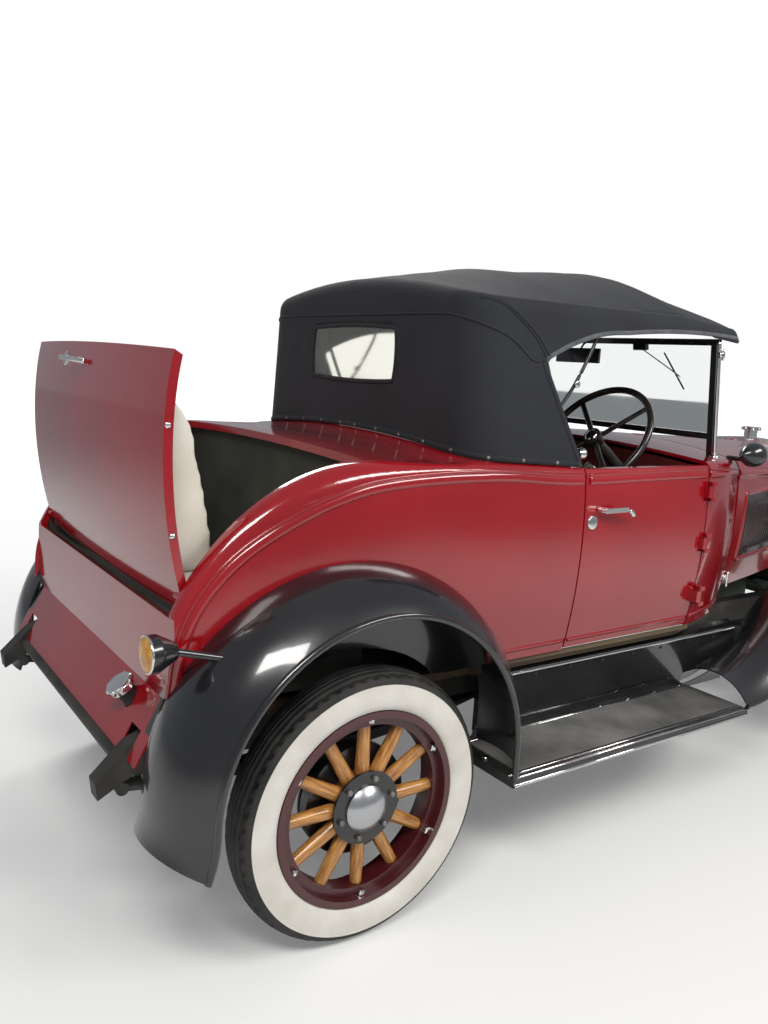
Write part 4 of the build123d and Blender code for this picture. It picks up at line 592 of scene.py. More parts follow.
def sweep(name, path, normals, profile, mat, closed=False):
    """A strip along a path: profile points are (across the path, away from the surface)."""
    count, size = len(path), len(profile)
    verts, faces = [], []
    for number, (place, normal) in enumerate(zip(path, normals)):
        after = path[(number + 1) % count] if closed or number + 1 < count else place
        before = path[number - 1] if closed or number else place
        along = (after - before).normalized()
        across = along.cross(normal).normalized()
        out = across.cross(along)
        verts += [place + across * a + out * b for a, b in profile]
    for number in range(count if closed else count - 1):
        here, there = number * size, (number + 1) % count * size
        faces += [(here + k, here + (k + 1) % size, there + (k + 1) % size, there + k) for k in range(size)]
    if not closed:
        faces += [tuple(range(size)), tuple(range((count - 1) * size, count * size))]
    mesh = bpy.data.meshes.new(name)
    mesh.from_pydata(verts, [], faces)
    for face in mesh.polygons:
        face.use_smooth = len(face.vertices) == 4
    mesh.materials.append(mat)
    return outward(mesh)


def half_round(width, height, sink=0.003, steps=7):
    """Section of a bead that stands on a surface and reaches a little into it."""
    arc = [(-width / 2 * math.cos(math.pi * k / steps), height * math.sin(math.pi * k / steps))
           for k in range(steps + 1)]
    return [(-width / 2, -sink)] + arc + [(width / 2, -sink)]


def rod(radius, sides=10):
    """Section of a round bar."""
    return [(radius * math.cos(2 * math.pi * k / sides), radius * math.sin(2 * math.pi * k / sides))
            for k in range(sides)]


def bar_along(name, points, radius, mat, step=0.01, sides=10, smooth=True):
    """A round bar or wire through some points."""
    path = round_corners(points, step) if smooth else [Vector(point) for point in points]
    up = Vector((0.13, 0.21, 0.97)).normalized()
    normals = [up if abs((b - a).normalized().dot(up)) < 0.9 else Vector((1, 0, 0))
               for a, b in zip(path, path[1:] + [path[-1] * 2 - path[-2]])]
    return sweep(name, path, normals, rod(radius, sides), mat)


def side_path(surface_tree, points, side, step=0.012):
    """Points and normals of a line drawn on the body's side, from its (x, z) points."""
    path, normals = [], []
    for point in round_corners([(x, 0, z) for x, z in points], step):
        met = touch(surface_tree, (point.x, side * 1.2, point.z), (0, -side, 0))
        if met:
            path.append(met[0])
            normals.append(met[1])
    return path, normals


BELT = [
    (0.425, 1.172), (0.085, 1.187), (-0.200, 1.187), (-0.505, 1.184), (-0.660, 1.188), (-0.835, 1.200),
    (-1.055, 1.202), (-1.275, 1.186), (-1.415, 1.150), (-1.525, 1.104), (-1.635, 1.040), (-1.715, 0.968),
    (-1.768, 0.890), (-1.797, 0.800), (-1.806, 0.700),
]
BODY_RUNS = [
    # piece, body, from x, to x
    ("cowl", "car", 0.093, 0.425), ("door_{}", "door_{}", -0.533, 0.083),
    ("rear_body", "car", -1.81, -0.543),
]
double_bead = half_round(0.026, 0.0055)[:-2] + [(0.0125, 0.0018)] + [
    (0.013 + 0.005 - 0.005 * math.cos(math.pi * k / 4), 0.0038 * math.sin(math.pi * k / 4))
    for k in range(5)
] + [(0.023, -0.003)]
belt_line = round_corners([(x, 0, z) for x, z in BELT], 0.01)
for side, hand in ((-1, "right"), (1, "left")):
    fixed = []
    for piece_name, body, low_x, high_x in BODY_RUNS:
        piece_name, body = piece_name.format(hand), body.format(hand)
        shell = skin(piece_name)
        run = [(point.x, point.z) for point in belt_line if low_x <= point.x <= high_x]
        path, normals = side_path(shell, run, side)
        mould = sweep(f"belt_{piece_name}_{hand}", path, normals,
                      double_bead if side < 0 else [(-a, b) for a, b in double_bead][::-1], red_paint)
        sill = [(x, 0.676) for x in (low_x + 0.004, (low_x + high_x) / 2, high_x - 0.004)]
        if piece_name == "rear_body":
            sill = [(-0.545, 0.676), (-0.70, 0.676), (-0.86, 0.676)]
        path, normals = side_path(shell, sill, side)
        lower = sweep("sill_bead", path, normals, half_round(0.014, 0.004), red_paint)
        if body == "car":
            fixed += [mould, lower]
        else:
            place_parts(f"door_mouldings_{hand}", (mould, lower), body)
    place_parts(f"body_mouldings_{hand}", fixed, "car")

# Painted shade: the body's side is painted near-black where it stands inside the rear wheel arch, where
# fender and tyre shade it
ARCH_X, ARCH_Z, ARCH_R = -1.345, 0.458, 0.527
_, _, axes, step = polar(red_paint)
from_arch = step("SQRT", step(
    "ADD",
    step("POWER", step("ABSOLUTE", step("SUBTRACT", axes.outputs["X"], ARCH_X)), 2.0),
    step("POWER", step("ABSOLUTE", step("SUBTRACT", axes.outputs["Z"], ARCH_Z)), 2.0),
))
arch_shade_mask = step("MULTIPLY", step("LESS_THAN", from_arch, ARCH_R),
               step("GREATER_THAN", step("ABSOLUTE", axes.outputs["Y"]), 0.55))
arch_shade_mix = part_of(red_paint, "ShaderNodeMix", data_type="RGBA")
arch_links = red_paint.node_tree.links
arch_links.new(arch_shade_mask, arch_shade_mix.inputs[0])
arch_links.new(red_ramp.outputs[0], arch_shade_mix.inputs[6])
# painted shade: the near-black colour given to the body side inside the arch
arch_shade_mix.inputs[7].default_value = (0.010, 0.010, 0.010, 1)
arch_links.new(arch_shade_mix.outputs[2], red_paint.node_tree.nodes["Principled BSDF"].inputs["Base Color"])

# Doors: pressed panels with a plated lever handle and hinges; the lever, its shaft and the
# escutcheon are bright, so the paint gives way to plating outside the panel's surface.
door_paint = surface("red_door_paint", (0.30, 0.003, 0.008), 0.22, Coat_Weight=0.9, Coat_Roughness=0.05)
door_ramp = mottle(door_paint, ((0.25, 0.002, 0.006), (0.34, 0.004, 0.010)), 1.6, (0.12, 0.24))
tree = door_paint.node_tree
reach, angle, axes, step = polar(door_paint)
outside = step("GREATER_THAN", step("ABSOLUTE", axes.outputs["Y"]), 0.6795)
behind = step("LESS_THAN", axes.outputs["X"], -0.30)
handle_here = step("MULTIPLY", outside, behind)
handle_mix = part_of(door_paint, "ShaderNodeMix", data_type="RGBA")
tree.links.new(handle_here, handle_mix.inputs[0])
tree.links.new(door_ramp.outputs[0], handle_mix.inputs[6])
handle_mix.inputs[7].default_value = (0.78, 0.78, 0.77, 1)
tree.links.new(handle_mix.outputs[2], tree.nodes["Principled BSDF"].inputs["Base Color"])
tree.links.new(handle_here, tree.nodes["Principled BSDF"].inputs["Metallic"])
finish_node("door_left door_right", door_paint)
trim_cloth = surface("door_lining_cloth", (0.05, 0.035, 0.03), 0.7, Sheen_Weight=0.2)
mottle(trim_cloth, ((0.030, 0.020, 0.018), (0.075, 0.050, 0.042)), 25, (0.6, 0.85), 0.35, 900)


def disc(name, place, normal, radius, height, mat, dome=0.5, sides=28):
    """A turned button: a rim of the given height and a domed face."""
    normal = Vector(normal).normalized()
    first = normal.orthogonal().normalized()
    second = normal.cross(first)
    rings = [(1.0, -0.002), (1.0, height * (1 - dome))] + [
        (math.cos(math.pi / 2 * k / 4), height * (1 - dome) + height * dome * math.sin(math.pi / 2 * k / 4))
        for k in (1, 2, 3)
    ]
    verts = [Vector(place) + (first * math.cos(2 * math.pi * k / sides)
                              + second * math.sin(2 * math.pi * k / sides))
             * radius * share + normal * up for share, up in rings for k in range(sides)]
    verts += [Vector(place) + normal * height, Vector(place) - normal * 0.002]
    faces = [(ring * sides + k, ring * sides + (k + 1) % sides, (ring + 1) * sides + (k + 1) % sides,
              (ring + 1) * sides + k)
             for ring in range(len(rings) - 1) for k in range(sides)]
    last = (len(rings) - 1) * sides
    faces += [(last + k, last + (k + 1) % sides, len(verts) - 2) for k in range(sides)]
    faces += [((k + 1) % sides, k, len(verts) - 1) for k in range(sides)]
    mesh = bpy.data.meshes.new(name)
    mesh.from_pydata(verts, [], faces)
    for face in mesh.polygons:
        face.use_smooth = True
    mesh.materials.append(mat)
    return outward(mesh)


def slab(name, corners, thickness, mat, bevel=0.002):
    """A flat plate with softened edges, from the corners of its face, thickness against the face's normal."""
    corners = [Vector(corner) for corner in corners]
    normal = (corners[1] - corners[0]).cross(corners[2] - corners[1]).normalized()
    work = bmesh.new()
    top = [work.verts.new(corner) for corner in corners]
    low = [work.verts.new(corner - normal * thickness) for corner in corners]
    work.faces.new(top)
    work.faces.new(list(reversed(low)))
    count = len(corners)
    for k in range(count):
        work.faces.new((top[k], low[k], low[(k + 1) % count], top[(k + 1) % count]))
    bmesh.ops.recalc_face_normals(work, faces=work.faces)
    if bevel:
        bmesh.ops.bevel(work, geom=list(work.edges), offset=bevel, segments=2, affect="EDGES", profile=0.6)
    mesh = bpy.data.meshes.new(name)
    work.to_mesh(mesh)
    work.free()
    mesh.materials.append(mat)
    return mesh


for side, hand in ((-1, "right"), (1, "left")):
    shell = skin(f"door_{hand}")
    met = touch(shell, (-0.500, side * 1.0, 1.055), (0, -side, 0))
    plate = disc("escutcheon", met[0], met[1], 0.022, 0.006, chrome)
    grip = bar_along("grip_end", [(-0.372, side * 0.708, 1.093), (-0.362, side * 0.711, 1.086),
                                  (-0.352, side * 0.711, 1.074)], 0.0085, chrome, 0.004)
    place_parts(f"door_handle_trim_{hand}", (plate, grip), f"door_{hand}")
    inner = side * 0.6235
    lining = slab("lining", [(-0.50, inner, 0.70), (0.05, inner, 0.70), (0.05, inner, 1.15),
                             (-0.50, inner, 1.15)]
                  if side > 0 else
                  [(-0.50, inner, 1.15), (0.05, inner, 1.15), (0.05, inner, 0.70), (-0.50, inner, 0.70)],
                  0.006, trim_cloth)
    place_piece(f"door_lining_{hand}", lining, f"door_{hand}")

# Running boards: a ribbed rubber mat glued on each board, a bright strip on its inner side and
# a rolled bright edge with a dark band outside. The ribs are one rib repeated by a node tree.
board_black = surface("board_enamel", (0.012, 0.012, 0.012), 0.4, Coat_Weight=0.3)
mottle(board_black, ((0.010, 0.010, 0.010), (0.035, 0.033, 0.030)), 8, (0.3, 0.6), 0.05, 300)
finish_node("running_boards", board_black)
mat_rubber = surface("board_mat_rubber", (0.10, 0.10, 0.10), 0.75)
mottle(mat_rubber, ((0.070, 0.070, 0.068), (0.17, 0.165, 0.155)), 7, (0.65, 0.9), 0.25, 500)


def row_tree(name):
    """Node tree: one small shape, taken from a mesh, repeated along a line."""
    group = bpy.data.node_groups.new(name, "GeometryNodeTree")
    face = group.interface
    face.new_socket("Geometry", in_out="INPUT", socket_type="NodeSocketGeometry")
    for label, kind, value in (
        ("Count", "NodeSocketInt", 10), ("Start", "NodeSocketVector", (0, 0, 0)),
        ("Step", "NodeSocketVector", (0, 0.01, 0)),
        ("Finish", "NodeSocketMaterial", None),
    ):
        socket = face.new_socket(label, in_out="INPUT", socket_type=kind)
        if value is not None:
            socket.default_value = value
    face.new_socket("Geometry", in_out="OUTPUT", socket_type="NodeSocketGeometry")
    make, link = group.nodes.new, group.links.new
    given = make("NodeGroupInput")
    line = make("GeometryNodeMeshLine")
    line.mode = "OFFSET"
    link(given.outputs["Count"], line.inputs["Count"])
    link(given.outputs["Start"], line.inputs["Start Location"])
    link(given.outputs["Step"], line.inputs["Offset"])
    stand = make("GeometryNodeInstanceOnPoints")
    link(line.outputs[0], stand.inputs["Points"])
    link(given.outputs["Geometry"], stand.inputs["Instance"])
    real = make("GeometryNodeRealizeInstances")
    link(stand.outputs[0], real.inputs[0])
    paint = make("GeometryNodeSetMaterial")
    link(real.outputs[0], paint.inputs["Geometry"])
    link(given.outputs["Finish"], paint.inputs["Material"])
    link(paint.outputs[0], make("NodeGroupOutput").inputs[0])
    return group


row_of = row_tree("row_of_shapes")


def rows(name, shape, count, start, step, mat):
    """A mesh repeated count times from start by step, through the row tree."""
    holder = bpy.data.objects.new(name, shape)
    scene.collection.objects.link(holder)
    modifier = holder.modifiers.new("row", "NODES")
    modifier.node_group = row_of
    values = {"Count": count, "Start": start, "Step": step, "Finish": mat}
    for item in row_of.interface.items_tree:
        if item.in_out == "INPUT" and item.name in values:
            modifier[item.identifier] = values[item.name]
    mesh = bpy.data.meshes.new_from_object(holder.evaluated_get(bpy.context.evaluated_depsgraph_get()))
    bpy.data.objects.remove(holder)
    mesh.name = name
    return mesh


BOARD_Z, BOARD_OUT = 0.380, 0.842
MAT_REAR_X, MAT_FRONT_X, MAT_IN_Y, MAT_OUT_Y = -0.862, 0.205, 0.596, 0.806
for side, hand in ((-1, "right"), (1, "left")):
    straight = [Vector((MAT_REAR_X, 0, 0)), Vector((MAT_FRONT_X, 0, 0))]
    upward = [Vector((0, 0, 1))] * 2
    rib = sweep("rib", straight, upward, half_round(0.0048, 0.0024, 0.0002, 4), mat_rubber)
    count = 27
    gap = (MAT_OUT_Y - MAT_IN_Y - 0.012) / (count - 1)
    ribs = rows("ribs", rib, count, (0, side * (MAT_IN_Y + 0.006), BOARD_Z + 0.0026), (0, side * gap, 0),
                mat_rubber)
    middle = side * (MAT_IN_Y + MAT_OUT_Y) / 2
    half = (MAT_OUT_Y - MAT_IN_Y) / 2
    base = slab("mat", [(MAT_REAR_X, middle - half, BOARD_Z + 0.003),
                        (MAT_FRONT_X, middle - half, BOARD_Z + 0.003),
                        (MAT_FRONT_X, middle + half, BOARD_Z + 0.003),
                        (MAT_REAR_X, middle + half, BOARD_Z + 0.003)],
                0.0032, mat_rubber, 0.001)
    place_parts(f"board_mat_{hand}", (base, ribs), "car")
    edge_x = (-0.903, 0.213)
    trims = []
    for y, z, normal, width, height in (
        (BOARD_OUT - 0.006, BOARD_Z, (0, 0, 1), 0.012, 0.0045),
        (BOARD_OUT, BOARD_Z - 0.020, (0, side, 0), 0.010, 0.0045),
        (BOARD_OUT - 0.026, BOARD_Z, (0, 0, 1), 0.006, 0.003),
        (MAT_IN_Y - 0.010, BOARD_Z, (0, 0, 1), 0.012, 0.003),
    ):
        line = [Vector((edge_x[0], side * y, z)), Vector((edge_x[1], side * y, z))]
        trims.append(sweep("trim", line, [Vector(normal)] * 2, half_round(width, height, 0.001), chrome))
    screw = disc("screw", (0, 0, 0), (0, 0, 1), 0.0045, 0.0022, chrome, 0.8, 10)
    trims.append(rows("screws", screw, 8, (-0.84, side * (MAT_IN_Y - 0.010), BOARD_Z + 0.003),
                      (0.145, 0, 0), chrome))
    bolt = disc("foot_bolt", (-0.884, side * 0.700, BOARD_Z), (0, 0, 1), 0.012, 0.010, chrome, 0.6, 18)
    trims.append(bolt)
    place_parts(f"board_trim_{hand}", trims, "car")

# Splash aprons: black pressed panels from the board up to the sill, with a bright finishing
# strip along the top and a row of round-headed screws that hold them to the frame.
for side, hand in ((-1, "right"), (1, "left")):
    shell = skin("splash_aprons")
    path, normals = side_path(shell, [(-0.800, 0.583), (-0.200, 0.583), (0.440, 0.583)], side)
    strip = sweep("strip", path, normals, half_round(0.010, 0.005, 0.002), chrome)
    head = disc("head", (0, 0, 0), (0, side, 0), 0.006, 0.0035, board_black, 0.8, 12)
    met = touch(shell, (-0.30, side * 1.2, 0.560), (0, -side, 0))
    heads = rows("heads", head, 8, (-0.76, met[0].y, 0.560), (0.155, 0, 0), board_black)
    place_parts(f"apron_trim_{hand}", (strip, heads), "car")
    # bright sill strip on the body's lower edge below the door
    sill = slab("sill", [(-0.530, side * 0.632, 0.6455), (0.080, side * 0.632, 0.6455),
                         (0.080, side * 0.6305, 0.6455), (-0.530, side * 0.6305, 0.6455)], 0.002, chrome, 0)
    place_piece(f"sill_strip_{hand}", sill, "car")

# Hood: each side carries a raised frame with a row of pressed louvres standing in it, a belt
# bead that carries on from the door, and a plated catch at the bottom of each end.
LOUVRE_FRAME = (0.535, 1.215, 0.820, 1.085)
LOUVRES = 26


def draped(mesh, surface_tree, side):
    """Lays a mesh drawn flat (x, height above the skin, z) onto the body's side."""
    flat = mesh.copy()
    for point in flat.vertices:
        x, up, z = point.co
        met = touch(surface_tree, (x, side * 1.2, z), (0, -side, 0))
        point.co = met[0] + met[1] * up if met else Vector((x, side * 0.5, z))
    return outward(flat)


def louvre(width, height, rise):
    """One pressed louvre, drawn flat: a long quarter-round hood open along its rear edge."""
    verts, faces = [], []
    rows_up, steps = 12, 5
    for row in range(rows_up + 1):
        share = row / rows_up
        z = (share - 0.5) * height
        swell = math.sin(math.pi * min(1, max(0, share))) ** 0.35 if 0 < share < 1 else 0
        for k in range(steps + 1):
            turn = math.pi / 2 * k / steps
            verts.append((width * (1 - math.cos(turn)) - width / 2,
                          rise * swell * math.sin(turn) - 0.0004, z))
        verts.append((width / 2, -0.0012, z))
    count = steps + 2
    for row in range(rows_up):
        for k in range(count - 1):
            here = row * count + k
            faces.append((here, here + 1, here + count + 1, here + count))
    mesh = bpy.data.meshes.new("louvre")
    mesh.from_pydata(verts, [], faces)
    for face in mesh.polygons:
        face.use_smooth = True
    return mesh


louvre_dark = surface("louvre_panel_paint", (0.018, 0.010, 0.010), 0.35, Coat_Weight=0.6)
mottle(louvre_dark, ((0.012, 0.008, 0.008), (0.040, 0.014, 0.014)), 6, (0.25, 0.45), 0.04, 280)
x0, x1, z0, z1 = LOUVRE_FRAME
for side, hand in ((-1, "right"), (1, "left")):
    shell = skin(f"hood_{hand}")
    parts = []
    grid = bpy.data.meshes.new("panel")
    nx, nz = 34, 14
    verts = [(x0 + (x1 - x0) * i / nx, 0.0008, z0 + (z1 - z0) * j / nz)
             for j in range(nz + 1) for i in range(nx + 1)]
    faces = [(j * (nx + 1) + i, j * (nx + 1) + i + 1, (j + 1) * (nx + 1) + i + 1, (j + 1) * (nx + 1) + i)
             for j in range(nz) for i in range(nx)]
    grid.from_pydata(verts + [(x, -0.0015, z) for x, _, z in verts], [],
                     faces + [tuple(reversed([len(verts) + k for k in face])) for face in faces])
    grid.materials.append(louvre_dark)
    parts.append(draped(grid, shell, side))
    corners = [(x0, z0), (x1, z0), (x1, z1), (x0, z1)]
    outline = []
    for (ax, az), (bx, bz) in zip(corners, corners[1:] + corners[:1]):
        for k in range(24):
            outline.append((ax + (bx - ax) * k / 24, az + (bz - az) * k / 24))
    met = [touch(shell, (x, side * 1.2, z), (0, -side, 0)) for x, z in outline]
    parts.append(sweep("frame_bead", [m[0] for m in met], [m[1] for m in met],
                       half_round(0.018, 0.006, 0.002),
                       red_paint, True))
    step_x = (x1 - x0 - 0.05) / LOUVRES
    row_mesh = rows("louvre_row", louvre(step_x * 0.72, (z1 - z0) * 0.80, 0.010), LOUVRES,
                    (x0 + 0.025 + step_x / 2, 0, (z0 + z1) / 2), (step_x, 0, 0), louvre_dark)
    parts.append(draped(row_mesh, shell, side))
    path, normals = side_path(shell, [(0.447, 1.170), (0.85, 1.150), (1.298, 1.128)], side)
    parts.append(sweep("hood_belt", path, normals, double_bead if side < 0 else
                       [(-a, b) for a, b in double_bead][::-1], red_paint))
    place_parts(f"hood_louvres_{hand}", parts, f"hood_{hand}")
    catches = []
    for x in (0.485, 1.262):
        met = touch(shell, (x, side * 1.2, 0.748), (0, -side, 0))
        catches.append(disc("catch_plate", met[0], met[1], 0.017, 0.006, chrome))
        grip = [met[0] + met[1] * 0.010 + Vector((0, 0, up)) for up in (-0.032, -0.012, 0.012, 0.030)]
        catches.append(bar_along("catch_grip", grip, 0.0055, chrome, 0.006))
    place_parts(f"hood_catches_{hand}", catches, f"hood_{hand}")

# The hood's centre hinge: a plated cover strip over the rod, riding on the car
rod_cover = sweep("rod_cover", [Vector((0.437, 0, 1.2645)), Vector((1.303, 0, 1.2365))],
                  [Vector((0, 0, 1))] * 2,
                  half_round(0.011, 0.0035, 0.004), chrome)
place_piece("hood_rod_cover", rod_cover, "car")

# Radiator: a plated shell round a black honeycomb core; the core's face is a grid of thin
# upright fins with crossing tubes, repeated by the row tree.
core_black = surface("radiator_core_paint", (0.02, 0.02, 0.02), 0.55, 0.3)
mottle(core_black, ((0.012, 0.012, 0.012), (0.05, 0.045, 0.035)), 20, (0.45, 0.75), 0.2, 500)
finish_node("radiator_core", core_black)
FACE_X, CORE_HALF, CORE_LOW, CORE_HIGH = 1.3805, 0.300, 0.600, 1.165
fin = slab("fin", [(FACE_X, -0.0006, CORE_LOW), (FACE_X, 0.0006, CORE_LOW), (FACE_X, 0.0006, CORE_HIGH),
                   (FACE_X, -0.0006, CORE_HIGH)], 0.006, core_black, 0)
fins = rows("fins", fin, 84, (0, -CORE_HALF + 0.008, 0), (0, (2 * CORE_HALF - 0.016) / 83, 0), core_black)
tube = slab("tube", [(FACE_X + 0.001, -CORE_HALF, -0.001), (FACE_X + 0.001, CORE_HALF, -0.001),
                     (FACE_X + 0.001, CORE_HALF, 0.001), (FACE_X + 0.001, -CORE_HALF, 0.001)], 0.005,
                     core_black, 0)
tubes = rows("tubes", tube, 48, (0, 0, CORE_LOW + 0.006), (0, 0, (CORE_HIGH - CORE_LOW - 0.012) / 47),
             core_black)
place_parts("radiator_face", (fins, tubes), "car")
cap_grip = []
for k in range(8):
    turn = 2 * math.pi * k / 8
    cap_grip.append(disc("grip", (1.3575 + 0.040 * math.cos(turn), 0.040 * math.sin(turn), 1.288),
                         (0, 0, 1),
                         0.007, 0.013, chrome, 0.4, 12))
place_parts("radiator_cap_grips", cap_grip, "car")

# Canvas top: one sheet of black double-texture cloth stretched over the bows, with a rounded
# rear curtain, bound edges, piped seams and a framed rear window.
CANVAS_LOW = 1.214
TOP_ROWS = (
    # x, half width at the hem and at the shoulder, shoulder z, centre z
    (-0.975, 0.640, 0.602, 1.698, 1.760),
    (-0.560, 0.660, 0.618, 1.700, 1.838),
    (-0.060, 0.656, 0.616, 1.706, 1.876),
    (0.245, 0.640, 0.606, 1.684, 1.806),
)
TOP_CORNER_R = 0.130
TOP_REAR_X, TOP_FRONT_X = -0.973, 0.243
CORNER_X = TOP_REAR_X + TOP_CORNER_R
QUARTER_FOOT, QUARTER_HEAD = (-0.550, 1.235), (-0.705, 1.531)
HEM_ARCS = (
    # three (x, z) points on each
    ((-0.705, 1.529), (-0.565, 1.592), (-0.365, 1.628)),
    ((-0.365, 1.628), (-0.060, 1.652), (0.305, 1.648)),
)
EDGE, EDGE_RISE, SEAM_Z = 0.038, 0.048, 1.655
# Rear window: half width, lower and upper edge, corner radius
WINDOW = (0.2515, 1.437, 1.615, 0.035)


def top_row(x):
    """The top's measures at one place along the car, from the bow behind it and the one ahead."""
    for near, far in zip(TOP_ROWS, TOP_ROWS[1:]):
        if x <= far[0] or far is TOP_ROWS[-1]:
            share = min(1, max(0, (x - near[0]) / (far[0] - near[0])))
            return [a + (b - a) * share for a, b in zip(near, far)]


def side_width(x, z):
    """Half width of the top's side wall."""
    _, low_y, side_y, side_z, _ = top_row(x)
    share = (z - CANVAS_LOW) / (side_z - 0.040 - CANVAS_LOW)
    return low_y + (side_y - low_y) * share - 0.0012


def roof_height(x, y):
    """Height of the roof's arc from side to side."""
    _, _, side_y, side_z, top_z = top_row(x)
    half, low = side_y - 0.038, side_z + 0.008
    rise = top_z - low
    radius = (half * half + rise * rise) / (2 * rise)
    return top_z - radius + math.sqrt(max(0.0, radius * radius - y * y)) - 0.001


def hem_height(x):
    """Lower edge of the cloth at the open side, from the quarter's head to the front."""
    for a, b, c in HEM_ARCS:
        if x <= c[0]:
            l0 = (x - b[0]) * (x - c[0]) / ((a[0] - b[0]) * (a[0] - c[0]))
            l1 = (x - a[0]) * (x - c[0]) / ((b[0] - a[0]) * (b[0] - c[0]))
            l2 = (x - a[0]) * (x - b[0]) / ((c[0] - a[0]) * (c[0] - b[0]))
            return a[1] * l0 + b[1] * l1 + c[1] * l2
    return 1.648


def column(kind, share, z, inset=0.0):
    """A place on the top's plan outline: kind says which run of it, share how far along."""
    wide = side_width(CORNER_X, z)
    centre_y = wide - TOP_CORNER_R
    radius = TOP_CORNER_R - inset
    if kind == "rear":
        return Vector((TOP_REAR_X + inset, centre_y * share, 0))
    if kind == "corner":
        turn = math.pi / 2 * (1 - share)
        return Vector((CORNER_X - radius * math.sin(turn), centre_y + radius * math.cos(turn), 0))
    end_x = TOP_FRONT_X
    if kind == "quarter":
        end_x = QUARTER_HEAD[0]
        if z < QUARTER_HEAD[1]:
            end_x += ((QUARTER_FOOT[0] - QUARTER_HEAD[0]) * (QUARTER_HEAD[1] - z)
                      / (QUARTER_HEAD[1] - QUARTER_FOOT[1]))
        x = CORNER_X + (end_x - CORNER_X) * share
    else:
        x = QUARTER_HEAD[0] + (end_x - QUARTER_HEAD[0]) * share
    return Vector((x, side_width(x, z) - inset, 0))


REAR_STEPS, CORNER_STEPS, QUARTER_STEPS, SIDE_STEPS = 34, 20, 18, 72
OUTLINE = ([("rear", k / REAR_STEPS) for k in range(REAR_STEPS)]
           + [("corner", k / CORNER_STEPS) for k in range(CORNER_STEPS)]
           + [("quarter", k / QUARTER_STEPS) for k in range(QUARTER_STEPS)]
           + [("side", k / SIDE_STEPS) for k in range(SIDE_STEPS + 1)])
QUARTER_END = REAR_STEPS + CORNER_STEPS + QUARTER_STEPS
CORNER_MIDDLE = REAR_STEPS + CORNER_STEPS // 2
LOW_ROWS, HIGH_ROWS, EDGE_ROWS = 24, 9, 6
body_skin = skin("rear_body")


def roof_edge(kind, share, turn):
    """A point of the rounded edge between wall and roof; turn runs from 0 at the wall to 1 on the roof."""
    inset = EDGE * (1 - math.cos(math.pi / 2 * turn))
    flat = column(kind, share, SEAM_Z, EDGE)
    high = roof_height(flat.x, flat.y)
    place = column(kind, share, high - EDGE_RISE, inset)
    return Vector((place.x, place.y, high - EDGE_RISE * (1 - math.sin(math.pi / 2 * turn))))


def cloth_half(side):
    """Vertices and faces of one half of the sheet, from the centre line to one side."""
    verts, faces = [], []

    def add_row(points):
        start = len(verts)
        verts.extend(points)
        return start

    def join(lower, upper, count):
        for k in range(count - 1):
            faces.append((lower + k, lower + k + 1, upper + k + 1, upper + k))

    previous = None
    for row in range(LOW_ROWS + 1):
        points = []
        for kind, share in OUTLINE[:QUARTER_END + 1]:
            if kind == "side":
                kind, share = "quarter", 1.0
            foot = column(kind, share, 1.26)
            met = touch(body_skin, (foot.x, foot.y - 0.004, 1.6), (0, 0, -1))
            foot_z = (met[0].z + 0.0015) if met else 1.236
            z = foot_z + (QUARTER_HEAD[1] - foot_z) * row / LOW_ROWS
            place = column(kind, share, z)
            points.append(Vector((place.x, place.y, z)))
        here = add_row(points)
        if previous is not None:
            join(previous, here, QUARTER_END + 1)
        previous = here
    low_top = previous
    for row in range(HIGH_ROWS + 1):
        points = []
        for number, (kind, share) in enumerate(OUTLINE):
            edge = roof_edge(kind, share, 0.0)
            foot_z = QUARTER_HEAD[1] if number <= QUARTER_END else hem_height(column(kind, share, 1.6).x)
            z = foot_z + (edge.z - foot_z) * row / HIGH_ROWS
            place = column(kind, share, z)
            points.append(Vector((place.x, place.y, z)))
        here = add_row(points)
        if row == 0:
            join(low_top, here, QUARTER_END + 1)
        else:
            join(previous, here, len(OUTLINE))
        previous = here
    for row in range(1, EDGE_ROWS + 1):
        here = add_row([roof_edge(kind, share, row / EDGE_ROWS) for kind, share in OUTLINE])
        join(previous, here, len(OUTLINE))
        previous = here
    # roof: a grid whose rear side is the outline up to the middle of the corner, whose outer side is the rest
    border = [roof_edge(kind, share, 1.0) for kind, share in OUTLINE]
    rear, outer = border[:CORNER_MIDDLE + 1], border[CORNER_MIDDLE:]
    across, along = len(rear) - 1, len(outer) - 1
    front = [Vector((TOP_FRONT_X, outer[-1].y * v / across, 0)) for v in range(across + 1)]
    middle = [Vector((rear[0].x + (TOP_FRONT_X - rear[0].x) * u / along, 0, 0)) for u in range(along + 1)]
    grid = []
    for u in range(along + 1):
        line = []
        for v in range(across + 1):
            s, t = u / along, v / across
            place = (rear[v] * (1 - s) + front[v] * s + middle[u] * (1 - t) + outer[u] * t
                     - rear[0] * (1 - s) * (1 - t) - rear[-1] * (1 - s) * t
                     - front[0] * s * (1 - t) - Vector((TOP_FRONT_X, outer[-1].y, 0)) * s * t)
            line.append(Vector((place.x, place.y, roof_height(place.x, place.y))))
        grid.append(add_row(line))
    for u in range(along):
        join(grid[u], grid[u + 1], across + 1)
    # the front edge turns down over the first bow
    turned = None
    for drop, forward in ((0.0, 0.0), (0.006, 0.0012), (0.016, 0.0016), (0.030, 0.0016)):
        row_points = [Vector((TOP_FRONT_X + forward, y.y, roof_height(TOP_FRONT_X, y.y) - drop))
                      for y in front]
        here = add_row(row_points)
        if turned is not None:
            join(turned, here, across + 1)
        turned = here
    return ([Vector((p.x, p.y * side, p.z)) for p in verts],
            [face if side > 0 else face[::-1] for face in faces])


